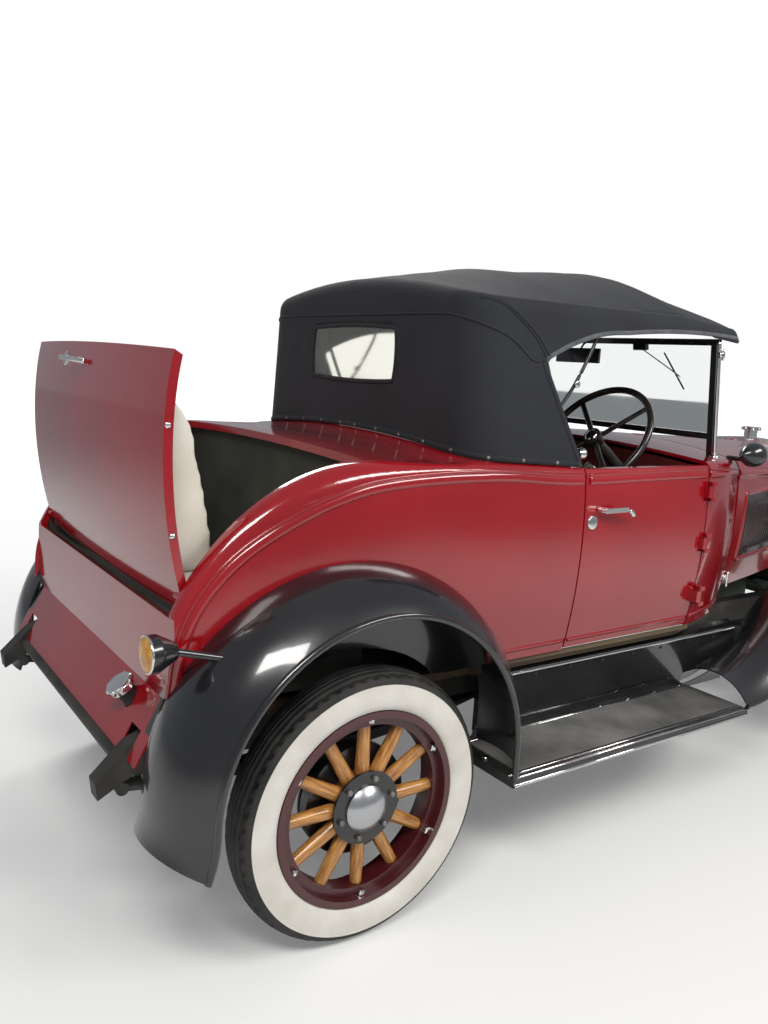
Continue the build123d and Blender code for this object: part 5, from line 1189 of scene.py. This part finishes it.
right_verts, right_faces = cloth_half(-1)
left_verts, left_faces = cloth_half(1)
cloth = bmesh.new()
made = [cloth.verts.new(v) for v in right_verts] + [cloth.verts.new(v) for v in left_verts]
for face in right_faces + [tuple(k + len(right_verts) for k in face) for face in left_faces]:
    if len({tuple(round(c, 6) for c in made[k].co) for k in face}) == 4:
        cloth.faces.new([made[k] for k in face])
bmesh.ops.remove_doubles(cloth, verts=cloth.verts, dist=0.0004)
# the rear window's opening: cells inside it go, and the edge left is drawn to its outline
half_w, low_z, high_z, corner_r = WINDOW
mid_z, half_h = (low_z + high_z) / 2, (high_z - low_z) / 2


def window_reach(y, z):
    """How far outside the window's rounded outline a point lies."""
    dy = max(0.0, abs(y) - half_w + corner_r)
    dz = max(0.0, abs(z - mid_z) - half_h + corner_r)
    if dy > 0 and dz > 0:
        return math.hypot(dy, dz) - corner_r
    return max(abs(y) - half_w, abs(z - mid_z) - half_h)


inside = [face for face in cloth.faces if face.calc_center_median().x < -0.96
          and window_reach(face.calc_center_median().y, face.calc_center_median().z) < 0]
bmesh.ops.delete(cloth, geom=inside, context="FACES")
for edge in cloth.edges:
    if edge.is_boundary:
        for point in edge.verts:
            if (point.co.x < -0.96 and abs(point.co.y) < half_w + 0.03
                    and low_z - 0.03 < point.co.z < high_z + 0.03):
                for _ in range(6):
                    off = window_reach(point.co.y, point.co.z)
                    dy = window_reach(point.co.y + 0.0005, point.co.z) - off
                    dz = window_reach(point.co.y, point.co.z + 0.0005) - off
                    size = math.hypot(dy, dz) or 1
                    point.co.y -= off * dy / size
                    point.co.z -= off * dz / size
bmesh.ops.recalc_face_normals(cloth, faces=cloth.faces)
if sum(face.normal.z * face.calc_area() for face in cloth.faces if face.calc_center_median().z > 1.72) < 0:
    bmesh.ops.reverse_faces(cloth, faces=cloth.faces)
flat_area = sum(face.calc_area() for face in cloth.faces)
# the cloth sinks a little between its bows and puckers along the rear curtain
rng = random.Random(11)
waves = [(rng.uniform(5, 16), rng.uniform(0, 6.28), rng.uniform(0.3, 1.0)) for _ in range(9)]
BOW_PLACES = (-0.973, -0.845, -0.727, -0.560, -0.180, -0.060, 0.210, 0.243)
cloth.normal_update()
shifts = {}
for point in cloth.verts:
    x, y, z = point.co
    if z > 1.70:
        near = min(abs(x - bow) for bow in BOW_PLACES)
        sink = 0.0045 * min(1.0, near / 0.16) ** 1.3 * max(0.0, 1 - (abs(y) / 0.60) ** 4)
        shifts[point] = -point.normal * sink
    elif x < -0.55:
        along = y * 1.6 + (x + 0.975) * 2.2 * (1 if y < 0 else -1)
        ripple = sum(size * math.sin(along * rate + phase) for rate, phase, size in waves) / 9
        fade = min(1.0, max(0.0, (1.66 - z) / 0.12)) * (0.35 + 0.65 * min(1.0, (z - 1.23) / 0.25))
        if abs(y) < 0.32 and 1.40 < z < 1.65 and x < -0.96:
            fade *= 0.15
        shifts[point] = -point.normal * (0.0022 * abs(ripple) * fade + 0.0006 * fade)
for point, shift in shifts.items():
    point.co += shift
for face in cloth.faces:
    face.smooth = True
cloth_mesh = bpy.data.meshes.new("canvas_sheet")
cloth.to_mesh(cloth_mesh)
cloth.free()

canvas_cloth = surface("black_top_cloth", (0.006, 0.007, 0.012), 0.8, Sheen_Weight=0.06,
                       Sheen_Roughness=0.5)
mottle(canvas_cloth, ((0.004, 0.005, 0.009), (0.012, 0.014, 0.021)), 3.5, (0.7, 0.9))
tree = canvas_cloth.node_tree
cloth_place = part_of(canvas_cloth, "ShaderNodeTexCoord")
threads = []
for turn in (0, math.pi / 2):
    lean = part_of(canvas_cloth, "ShaderNodeMapping")
    lean.inputs["Rotation"].default_value = (0, 0, turn)
    tree.links.new(cloth_place.outputs["Object"], lean.inputs["Vector"])
    wave = part_of(canvas_cloth, "ShaderNodeTexWave", wave_type="BANDS", bands_direction="DIAGONAL")
    wave.inputs["Scale"].default_value = 260
    wave.inputs["Distortion"].default_value = 0.6
    tree.links.new(lean.outputs[0], wave.inputs["Vector"])
    threads.append(wave)
weave = part_of(canvas_cloth, "ShaderNodeMath", operation="MULTIPLY")
tree.links.new(threads[0].outputs["Fac"], weave.inputs[0])
tree.links.new(threads[1].outputs["Fac"], weave.inputs[1])
weave_relief = part_of(canvas_cloth, "ShaderNodeBump")
weave_relief.inputs["Strength"].default_value = 0.5
weave_relief.inputs["Distance"].default_value = 0.0008
tree.links.new(weave.outputs[0], weave_relief.inputs["Height"])
tree.links.new(weave_relief.outputs[0], tree.nodes["Principled BSDF"].inputs["Normal"])
binding = surface("top_edge_binding", (0.045, 0.050, 0.062), 0.7, Sheen_Weight=0.3)
mottle(binding, ((0.030, 0.034, 0.044), (0.085, 0.090, 0.105)), 30, (0.6, 0.8), 0.3, 1200)
cloth_mesh.materials.append(canvas_cloth)
canvas_piece = place_piece("canvas_sheet", cloth_mesh, "car", ("canvas_top",))
wall = canvas_piece.modifiers.new("thickness", "SOLIDIFY")
wall.thickness = 0.0045
wall.offset = -1

# Seams, piping and bindings of the top, sewn over the sheet
cloth_skin = BVHTree.FromPolygons([point.co.copy() for point in cloth_mesh.vertices],
                                  [list(face.vertices) for face in cloth_mesh.polygons])


def on_cloth(points, step=0.01):
    """A line laid on the sheet, with the sheet's normals."""
    path, normals = [], []
    for point in round_corners(points, step):
        place, normal, _, _ = cloth_skin.find_nearest(point)
        hub = Vector((max(-0.75, min(0.1, place.x)), 0, 1.45))
        if normal.dot(place - hub) < 0:
            normal = -normal
        path.append(place)
        normals.append(normal)
    return path, normals


sewn = []
for side in (-1, 1):
    curtain = [column(kind, share, 1.645) for kind, share in OUTLINE[:QUARTER_END:6]]
    seam = []
    for number, place in enumerate(curtain):
        travel = number / (len(curtain) - 1)
        drop = 0.0 if travel < 0.5 else 0.118 * ((travel - 0.5) / 0.5) ** 1.6
        seam.append((place.x, side * place.y, 1.648 - drop))
    seam.append((QUARTER_HEAD[0] + 0.004, side * 0.612, 1.535))
    path, normals = on_cloth(seam)
    sewn.append(sweep("curtain_seam", path, normals, half_round(0.007, 0.0035, 0.001, 5), canvas_cloth))
    fold = [(-0.934, side * 0.585, 1.705), (-0.885, side * 0.600, 1.690), (-0.804, side * 0.606, 1.642),
            (-0.739, side * 0.612, 1.590), (-0.700, side * 0.616, 1.538)]
    for offset in (0.0, 0.014):
        path, normals = on_cloth([(x + offset, y, z) for x, y, z in fold])
        sewn.append(sweep("quarter_seam", path, normals, half_round(0.006, 0.003, 0.001, 5), canvas_cloth))
    hem = [(x, side * (side_width(x, hem_height(x)) + 0.001), hem_height(x) + 0.006)
           for x in [QUARTER_HEAD[0] + (TOP_FRONT_X - QUARTER_HEAD[0]) * k / 24 for k in range(25)]]
    path, normals = on_cloth(hem)
    sewn.append(sweep("side_hem", path, normals, half_round(0.014, 0.0028, 0.001, 5), binding))
    quarter = [(QUARTER_HEAD[0] + (QUARTER_FOOT[0] - QUARTER_HEAD[0]) * k / 8 - 0.008,
                side * side_width(-0.62, 1.4),
                QUARTER_HEAD[1] + (QUARTER_FOOT[1] - QUARTER_HEAD[1]) * k / 8)
               for k in range(9)]
    path, normals = on_cloth(quarter)
    sewn.append(sweep("quarter_edge", path, normals, half_round(0.018, 0.003, 0.001, 5), canvas_cloth))
    foot = []
    for kind, share in OUTLINE[:QUARTER_END + 1:3]:
        place = column("quarter", 1.0, 1.25) if kind == "side" else column(kind, share, 1.25)
        met = touch(body_skin, (place.x, side * (place.y - 0.004), 1.6), (0, 0, -1))
        foot.append((place.x, side * place.y, (met[0].z if met else 1.235) + 0.010))
    path, normals = on_cloth(foot)
    sewn.append(sweep("foot_welt", path, normals, half_round(0.017, 0.004, 0.001, 5), canvas_cloth))
    for place, normal in list(zip(path, normals))[4::11]:
        sewn.append(disc("stud", place + normal * 0.003, normal, 0.0055, 0.003, dull_steel, 0.8, 12))
front_edge = [(TOP_FRONT_X, 0.585 * k / 12, roof_height(TOP_FRONT_X, 0.585 * k / 12) - 0.018)
              for k in range(-12, 13)]
sewn.append(sweep("front_welt", [Vector(p) for p in front_edge], [Vector((1, 0, 0.1))] * 25,
                  half_round(0.026, 0.004, 0.001, 5), binding))
frame_path, frame_normals = [], []
for k in range(88):
    turn = 2 * math.pi * k / 88
    y, z = math.cos(turn), math.sin(turn)
    reach_y, reach_z = half_w - corner_r, half_h - corner_r
    y = max(-1, min(1, y * 1.6)) * reach_y + math.cos(turn) * corner_r
    z = max(-1, min(1, z * 1.6)) * reach_z + math.sin(turn) * corner_r
    frame_path.append(Vector((TOP_REAR_X - 0.0005, y, mid_z + z)))
    frame_normals.append(Vector((-1, 0, 0)))
sewn.append(sweep("window_binding", frame_path, frame_normals, half_round(0.014, 0.0035, 0.003, 5),
                  canvas_cloth, True))
place_parts("top_seams", sewn, "car")

# Rear window and windshield: clear sheets, faintly yellowed behind, with a greenish edge in front
def clear_sheet(name, tint, rough):
    """Clear glass or celluloid with faint smears."""
    mat = surface(name, tint, rough, Transmission_Weight=1.0, IOR=1.45)
    tree = mat.node_tree
    place = part_of(mat, "ShaderNodeTexCoord")
    smear = part_of(mat, "ShaderNodeTexNoise")
    smear.inputs["Scale"].default_value = 7
    smear.inputs["Detail"].default_value = 5
    tree.links.new(place.outputs["Object"], smear.inputs["Vector"])
    span = part_of(mat, "ShaderNodeMapRange")
    span.inputs["To Min"].default_value, span.inputs["To Max"].default_value = rough, rough + 0.06
    tree.links.new(smear.outputs["Fac"], span.inputs["Value"])
    tree.links.new(span.outputs[0], tree.nodes["Principled BSDF"].inputs["Roughness"])
    return mat


finish_node("rear_window", clear_sheet("rear_window_sheet", (0.96, 0.95, 0.86), 0.03))
finish_node("windshield_glass", clear_sheet("windshield_plate_glass", (0.95, 0.98, 0.96), 0.0))
bow_wood = surface("stained_bow_ash", (0.06, 0.035, 0.02), 0.55)
mottle(bow_wood, ((0.035, 0.020, 0.012), (0.10, 0.058, 0.030)), 18, (0.45, 0.7), 0.2, 200, (1, 0.15, 1))
finish_node("top_bows", bow_wood)

# Top irons: a dark prop from the quarter's head along its front edge down to a plated socket on the body, and
# a dark brace forwards to the second bow.
iron_black = surface("top_iron_enamel", (0.012, 0.013, 0.016), 0.3, Coat_Weight=0.5)
mottle(iron_black, ((0.010, 0.010, 0.013), (0.030, 0.031, 0.036)), 12, (0.2, 0.45), 0.05, 300)
irons = []
for side in (-1, 1):
    y = side * 0.600
    irons.append(bar_along("main_iron", [(-0.688, y, 1.545), (-0.640, y, 1.440), (-0.585, y, 1.335),
                                         (-0.528, side * 0.612, 1.262)],
                           0.0065, iron_black))
    irons.append(bar_along("brace", [(-0.612, y, 1.392), (-0.551, y, 1.470), (-0.486, y, 1.585),
                                     (-0.470, y, 1.640)],
                           0.0055, iron_black))
    irons.append(disc("pivot", (-0.612, side * 0.608, 1.392), (0, side, 0), 0.013, 0.006, chrome))
    irons.append(disc("knuckle_cap", (-0.551, side * 0.608, 1.470), (0, side, 0), 0.011, 0.006, chrome))
    irons.append(disc("foot_knob", (-0.522, side * 0.620, 1.258), (0.2, side, 0.6), 0.019, 0.024, chrome,
                      0.8))
    irons.append(disc("head_knob", (-0.694, side * 0.616, 1.538), (0, side, 0), 0.010, 0.008, dull_steel,
                      0.8))
place_parts("top_irons", irons, "car")

# Upholstery: the rumble seat and the front seat are inflated as cloth over their own forms,
# held along their seams, so that the panels swell between them.
cream_hide = surface("cream_hide", (0.72, 0.69, 0.60), 0.45, Subsurface_Weight=0.05, Subsurface_Scale=0.01)
mottle(cream_hide, ((0.62, 0.585, 0.49), (0.76, 0.73, 0.65)), 5, (0.38, 0.60), 0.35, 420)
dark_hide = surface("oxblood_hide", (0.055, 0.012, 0.010), 0.4)
mottle(dark_hide, ((0.030, 0.007, 0.006), (0.085, 0.020, 0.016)), 7, (0.32, 0.58), 0.45, 380)
PAD_FRAMES = 20


def puffed(name, source, cell, held, limit):
    """The source piece's form blown up as cloth; held(place) gives how firmly each point stays, 0 to 1."""
    form = bpy.data.objects.new(name + "_form", node[source].data.copy())
    scene.collection.objects.link(form)
    remesh = form.modifiers.new("even", "REMESH")
    remesh.mode = "VOXEL"
    remesh.voxel_size = cell
    relax = form.modifiers.new("relax", "SMOOTH")
    relax.factor, relax.iterations = 0.5, 9
    graph = bpy.context.evaluated_depsgraph_get()
    even = bpy.data.meshes.new_from_object(form.evaluated_get(graph))
    form.modifiers.clear()
    form.data = even
    starts = [point.co.copy() for point in even.vertices]
    normals = [point.normal.copy() for point in even.vertices]
    for point, normal in zip(even.vertices, normals):
        point.co = point.co - normal * 0.003
    group = form.vertex_groups.new(name="seams")
    for point, start in zip(even.vertices, starts):
        group.add([point.index], held(start), "REPLACE")
    cloth_mod = form.modifiers.new("stuffing", "CLOTH")
    settings = cloth_mod.settings
    settings.quality = 5
    settings.mass = 0.3
    settings.tension_stiffness = settings.compression_stiffness = 12
    settings.shear_stiffness = 8
    settings.bending_stiffness = 0.8
    settings.vertex_group_mass = "seams"
    settings.use_pressure = True
    settings.uniform_pressure_force = 4
    settings.effector_weights.gravity = 0
    cloth_mod.point_cache.frame_start, cloth_mod.point_cache.frame_end = 1, PAD_FRAMES
    for moment in range(1, PAD_FRAMES + 1):
        scene.frame_set(moment)
    graph = bpy.context.evaluated_depsgraph_get()
    swollen = bpy.data.meshes.new_from_object(form.evaluated_get(graph))
    for point, start, normal in zip(swollen.vertices, starts, normals):
        shift = point.co - start
        if shift.length > limit:
            shift *= limit / shift.length
        point.co = start + shift
    form.modifiers.clear()
    form.data = swollen
    scene.frame_set(1)
    fine = form.modifiers.new("fine", "SUBSURF")
    fine.levels = fine.render_levels = 1
    graph = bpy.context.evaluated_depsgraph_get()
    done = bpy.data.meshes.new_from_object(form.evaluated_get(graph))
    bpy.data.objects.remove(form)
    for face in done.polygons:
        face.use_smooth = True
    return done


def near_edge(value, edges, width):
    """1 on any of the given lines, falling to 0 at the given distance."""
    return max(0.0, 1 - min(abs(value - edge) for edge in edges) / width)


def back_held(place):
    lid_side = 1.0 if place.x < -1.795 else 0.0
    return max(lid_side, near_edge(place.y, (-0.530, 0.530), 0.012) * 0.5)


def rumble_held(place):
    low = 1.0 if place.z < 0.69 else 0.0
    return max(low, 0.6 * near_edge(place.y, (-0.26, 0.0, 0.26), 0.012) * (1 if place.z > 0.79 else 0))


FRONT_PLEATS = [-0.50 + 0.10 * k for k in range(11)]


def front_held(place):
    fixed = 1.0 if place.z < 0.66 or (place.x < -0.80) else 0.0
    on_face = 1 if (place.z > 0.90 or place.x > -0.67) else 0
    return max(fixed, 0.85 * near_edge(place.y, FRONT_PLEATS, 0.011) * on_face)


for name, source, body, cell, held, limit, mat, slot_name in (
    ("rumble_back_pad", "rumble_back", "rumble_lid", 0.010, back_held, 0.022, cream_hide, "seat_cream"),
    ("rumble_seat_pad", "rumble_cushion", "car", 0.011, rumble_held, 0.022, cream_hide, "seat_cream"),
    ("front_seat_pad", "front_seat", "car", 0.014, front_held, 0.022, dark_hide, "seat_dark"),
):
    pad_mesh = puffed(name, source, cell, held, limit)
    pad_mesh.materials.clear()
    pad_mesh.materials.append(mat)
    pad_piece = place_piece(name, pad_mesh, body, (source,))

# Rumble lid: plated handle on its escutcheon, two studs on each edge, and a black strip at the foot of the
# lid that is painted shade for the dark gap under the raised lid's pad
FAR_BEHIND = -2.2
HANDLE_Y, HANDLE_LENGTH, HANDLE_Z = 0.205, 0.215, 1.457
LID_EDGE_Y, STUD_ROWS = 0.5832, (1.332, 1.078)
SHADE_STRIP_HALF, SHADE_STRIP_REAR, SHADE_STRIP_FRONT = 0.580, (-1.788, 0.871), (-1.735, 0.868)
lid_skin = skin("rumble_lid")
lid_trim = []
met = touch(lid_skin, (FAR_BEHIND, HANDLE_Y, HANDLE_Z), (1, 0, 0))
lid_trim.append(disc("handle_plate", met[0], met[1], 0.021, 0.007, chrome, 0.6))
grip_path = []
for share in range(9):
    y = HANDLE_Y - HANDLE_LENGTH * share / 8
    met_here = touch(lid_skin, (FAR_BEHIND, y, HANDLE_Z - 0.004 * share / 8), (1, 0, 0))
    lift = 0.030 if 1 < share < 7 else (0.022 if share in (1, 7) else 0.006)
    grip_path.append(met_here[0] + met_here[1] * lift)
lid_trim.append(bar_along("handle_grip", grip_path, 0.0075, chrome, 0.006))
for side in (-1, 1):
    for z in STUD_ROWS:
        met = touch(lid_skin, (FAR_BEHIND, side * 0.570, z), (1, 0, 0))
        lid_trim.append(disc("edge_stud", (met[0].x + 0.010, side * LID_EDGE_Y, z), (0, side, 0),
                             0.008, 0.005, chrome, 0.9, 16))
place_parts("lid_trim", lid_trim, "rumble_lid")
# painted shade: a near-black sheet put where the raised lid shades the seat
shade_strip_black = surface("lid_gutter_rubber", (0.010, 0.010, 0.010), 0.8)
mottle(shade_strip_black, ((0.007, 0.007, 0.007), (0.020, 0.019, 0.018)), 20, (0.7, 0.9))
shade_strip_corners = [(x, y, z) for (x, z), y in (
    (SHADE_STRIP_REAR, -SHADE_STRIP_HALF), (SHADE_STRIP_FRONT, -SHADE_STRIP_HALF), (SHADE_STRIP_FRONT, SHADE_STRIP_HALF),
    (SHADE_STRIP_REAR, SHADE_STRIP_HALF),
)]
shade_strip = slab("lid_gutter", shade_strip_corners, 0.004, shade_strip_black, 0.001)
place_piece("lid_gutter", shade_strip, "car")
lining = surface("well_lining_board", (0.035, 0.038, 0.030), 0.75)
mottle(lining, ((0.022, 0.024, 0.019), (0.055, 0.058, 0.046)), 5, (0.6, 0.9), 0.4, 260)
finish_node("rumble_well", lining)

# Tail: amber lamp glass in a plated rim, its drooping bracket, and the filler cap's grip ring
amber = surface("amber_lamp_glass", (0.55, 0.24, 0.02), 0.18, Coat_Weight=0.6, Subsurface_Weight=0.1)
mottle(amber, ((0.38, 0.15, 0.012), (0.68, 0.34, 0.04)), 60, (0.1, 0.3), 0.4, 300)


def ring_path(centre, normal, radius, count=40):
    """Points round a circle and the directions out of it."""
    normal = Vector(normal).normalized()
    first = normal.orthogonal().normalized()
    second = normal.cross(first)
    spokes = [first * math.cos(2 * math.pi * k / count) + second * math.sin(2 * math.pi * k / count)
              for k in range(count)]
    return [Vector(centre) + spoke * radius for spoke in spokes], spokes


def lamp_front(name, centre, normal, radius, glass, depth, rim_mat):
    """A domed lamp glass in a rolled rim."""
    path, out = ring_path(centre, normal, radius)
    return [disc(name + "_glass", centre, normal, radius, depth, glass, 0.92, 36),
            sweep(name + "_rim", path, out, rod(max(0.0035, radius * 0.055), 8), rim_mat, True)]


TAIL_LAMP_Y, TAIL_LAMP_Z, TAIL_LAMP_R = -0.660, 0.832, 0.0425
lamp_rear = touch(skin("tail_lamp"), (FAR_BEHIND, TAIL_LAMP_Y, TAIL_LAMP_Z), (1, 0, 0))[0]
tail_bits = lamp_front("tail", lamp_rear + Vector((-0.0005, 0, 0)), (-1, 0, 0), TAIL_LAMP_R, amber, 0.013,
                       chrome)
place_parts("tail_lamp_glass", tail_bits, "car")
cap_axis = Vector((-0.6, 0, 0.8))
cap_centre = Vector((-1.8553, -0.400, 0.6590)) + cap_axis * 0.0145
cap_path, cap_out = ring_path(cap_centre, cap_axis, 0.0335)
knurls = [sweep("cap_bead", cap_path, cap_out, rod(0.0022, 6), chrome, True)]
for angle_step in range(8):
    lean = cap_out[angle_step * 5]
    knurls.append(bar_along("cap_grip", [cap_centre + lean * 0.0335 - cap_axis * 0.008,
                                         cap_centre + lean * 0.0335 + cap_axis * 0.006],
                            0.0042, chrome, 0.01, 8, False))
place_parts("filler_cap_grips", knurls, "car")

# Lamps on the nose and the cowl: clear glasses in plated rims
lamp_glass = surface("ribbed_lamp_glass", (0.62, 0.64, 0.64), 0.12, 0.55, Coat_Weight=0.8)
mottle(lamp_glass, ((0.42, 0.44, 0.45), (0.78, 0.80, 0.80)), 22, (0.05, 0.2), 0.5, 90, (1, 6, 0.4))
FRONT_LAMPS = (
    # piece, y and z of its middle, radius and depth of its glass
    ("headlamps", 0.375, 0.975, 0.118, 0.016),
    ("cowl_lamps", 0.620, 1.248, 0.040, 0.007),
)
front_bits = []
for side in (-1, 1):
    for piece_name, place_y, place_z, radius, depth in FRONT_LAMPS:
        face = touch(skin(piece_name), (2.2, side * place_y, place_z), (-1, 0, 0))
        if face:
            front_bits += lamp_front(piece_name, face[0] + Vector((0.0005, 0, 0)), (1, 0, 0), radius,
                                     lamp_glass, depth, chrome)
place_parts("lamp_glasses", front_bits, "car")

# Windshield: plated stanchions with pivot screws, wiper and mirror
POST_Y = 0.592
shield = []
for side in (-1, 1):
    post = [(x, side * POST_Y, z) for x, z in ((0.206, 1.236), (0.180, 1.440), (0.154, 1.648))]
    shield.append(bar_along("stanchion", post, 0.0075, chrome, 0.02))
    shield.append(disc("stanchion_foot", (0.206, side * POST_Y, 1.232), (0, 0, 1), 0.017, 0.016, chrome,
                       0.5))
    shield.append(disc("pivot_nut", (0.162, side * 0.598, 1.596), (0, side, 0), 0.013, 0.012, chrome, 0.7))
    wing = [(0.162, side * y, z) for y, z in ((0.607, 1.578), (0.611, 1.596), (0.607, 1.614))]
    shield.append(bar_along("wing", wing, 0.004, chrome, 0.004))
motor_face = [(0.184, -0.255, 1.640), (0.184, -0.195, 1.640), (0.190, -0.195, 1.606),
              (0.190, -0.255, 1.606)]
shield.append(slab("wiper_motor", motor_face, 0.020, black_paint))
shield.append(bar_along("wiper_arm", [(0.196, -0.225, 1.616), (0.200, -0.320, 1.566),
                                      (0.214, -0.410, 1.513)], 0.0022, chrome))
shield.append(bar_along("wiper_blade", [(0.206, -0.330, 1.600), (0.226, -0.420, 1.470)], 0.0032,
                        black_paint))
mirror_back = [(0.118, -0.100, 1.606), (0.118, -0.100, 1.548), (0.118, 0.130, 1.548), (0.118, 0.130, 1.606)]
shield.append(slab("mirror", mirror_back, 0.010, black_paint, 0.004))
mirror_face = [(0.1165, y, z)
               for y, z in ((-0.095, 1.601), (-0.095, 1.553), (0.125, 1.553), (0.125, 1.601))]
shield.append(slab("mirror_face", mirror_face, 0.002, chrome, 0.0005))
shield.append(bar_along("mirror_arm", [(0.124, 0.015, 1.600), (0.140, 0.015, 1.622),
                                       (0.158, 0.015, 1.634)], 0.004, black_paint))
place_parts("windshield_fittings", shield, "car")

# Cockpit: ebonite wheel, painted dash with bare instruments, boarded floor
ebonite = surface("steering_ebonite", (0.015, 0.013, 0.012), 0.25, Coat_Weight=0.4)
mottle(ebonite, ((0.010, 0.009, 0.008), (0.030, 0.024, 0.020)), 16, (0.18, 0.4), 0.05, 300)
finish_node("steering_wheel", ebonite)
hub_axis = Vector((-0.819152, 0, 0.573576))
hub = touch(skin("steering_wheel"), Vector((-0.158, -0.350, 1.278)) + hub_axis * 0.2, -hub_axis)[0]
place_piece("steering_hub_cap", disc("steering_hub_cap", hub, hub_axis, 0.024, 0.010, chrome, 0.7),
            "steering_wheel")
dash_red = surface("dash_enamel", (0.10, 0.010, 0.008), 0.35, Coat_Weight=0.4)
mottle(dash_red, ((0.07, 0.006, 0.006), (0.13, 0.015, 0.011)), 5, (0.3, 0.5), 0.05, 250)
finish_node("dashboard", dash_red)
dial_face = surface("dial_card", (0.62, 0.60, 0.52), 0.5)
mottle(dial_face, ((0.52, 0.49, 0.40), (0.68, 0.66, 0.58)), 40, (0.35, 0.6), 0.05, 400)
DIALS = (
    # y, z, radius
    (0.0, 1.130, 0.045), (-0.115, 1.130, 0.030), (0.115, 1.130, 0.030), (-0.06, 1.065, 0.016),
    (0.06, 1.065, 0.016),
)
dash_skin = skin("dashboard")
dials = []
for y, z, radius in DIALS:
    face = touch(dash_skin, (-0.5, y, z), (1, 0, 0))
    if face:
        path, out = ring_path(face[0] + Vector((-0.002, 0, 0)), (-1, 0, 0), radius)
        dials += [disc("dial", face[0], (-1, 0, 0), radius, 0.004, dial_face, 0.1, 32),
                  sweep("bezel", path, out, rod(0.0035, 8), chrome, True),
                  bar_along("needle", [face[0] + Vector((-0.005, 0, 0)),
                                       face[0] + Vector((-0.005, radius * 0.4, radius * 0.5))],
                            0.0009, black_paint, 0.01, 6, False)]
place_parts("dash_dials", dials, "car")
boards = surface("floor_boards", (0.10, 0.065, 0.035), 0.7)
mottle(boards, ((0.045, 0.030, 0.018), (0.14, 0.095, 0.055)), 6, (0.55, 0.85), 0.35, 160, (0.25, 3, 1))
finish_node("floor", boards)

bpy.context.view_layer.update()
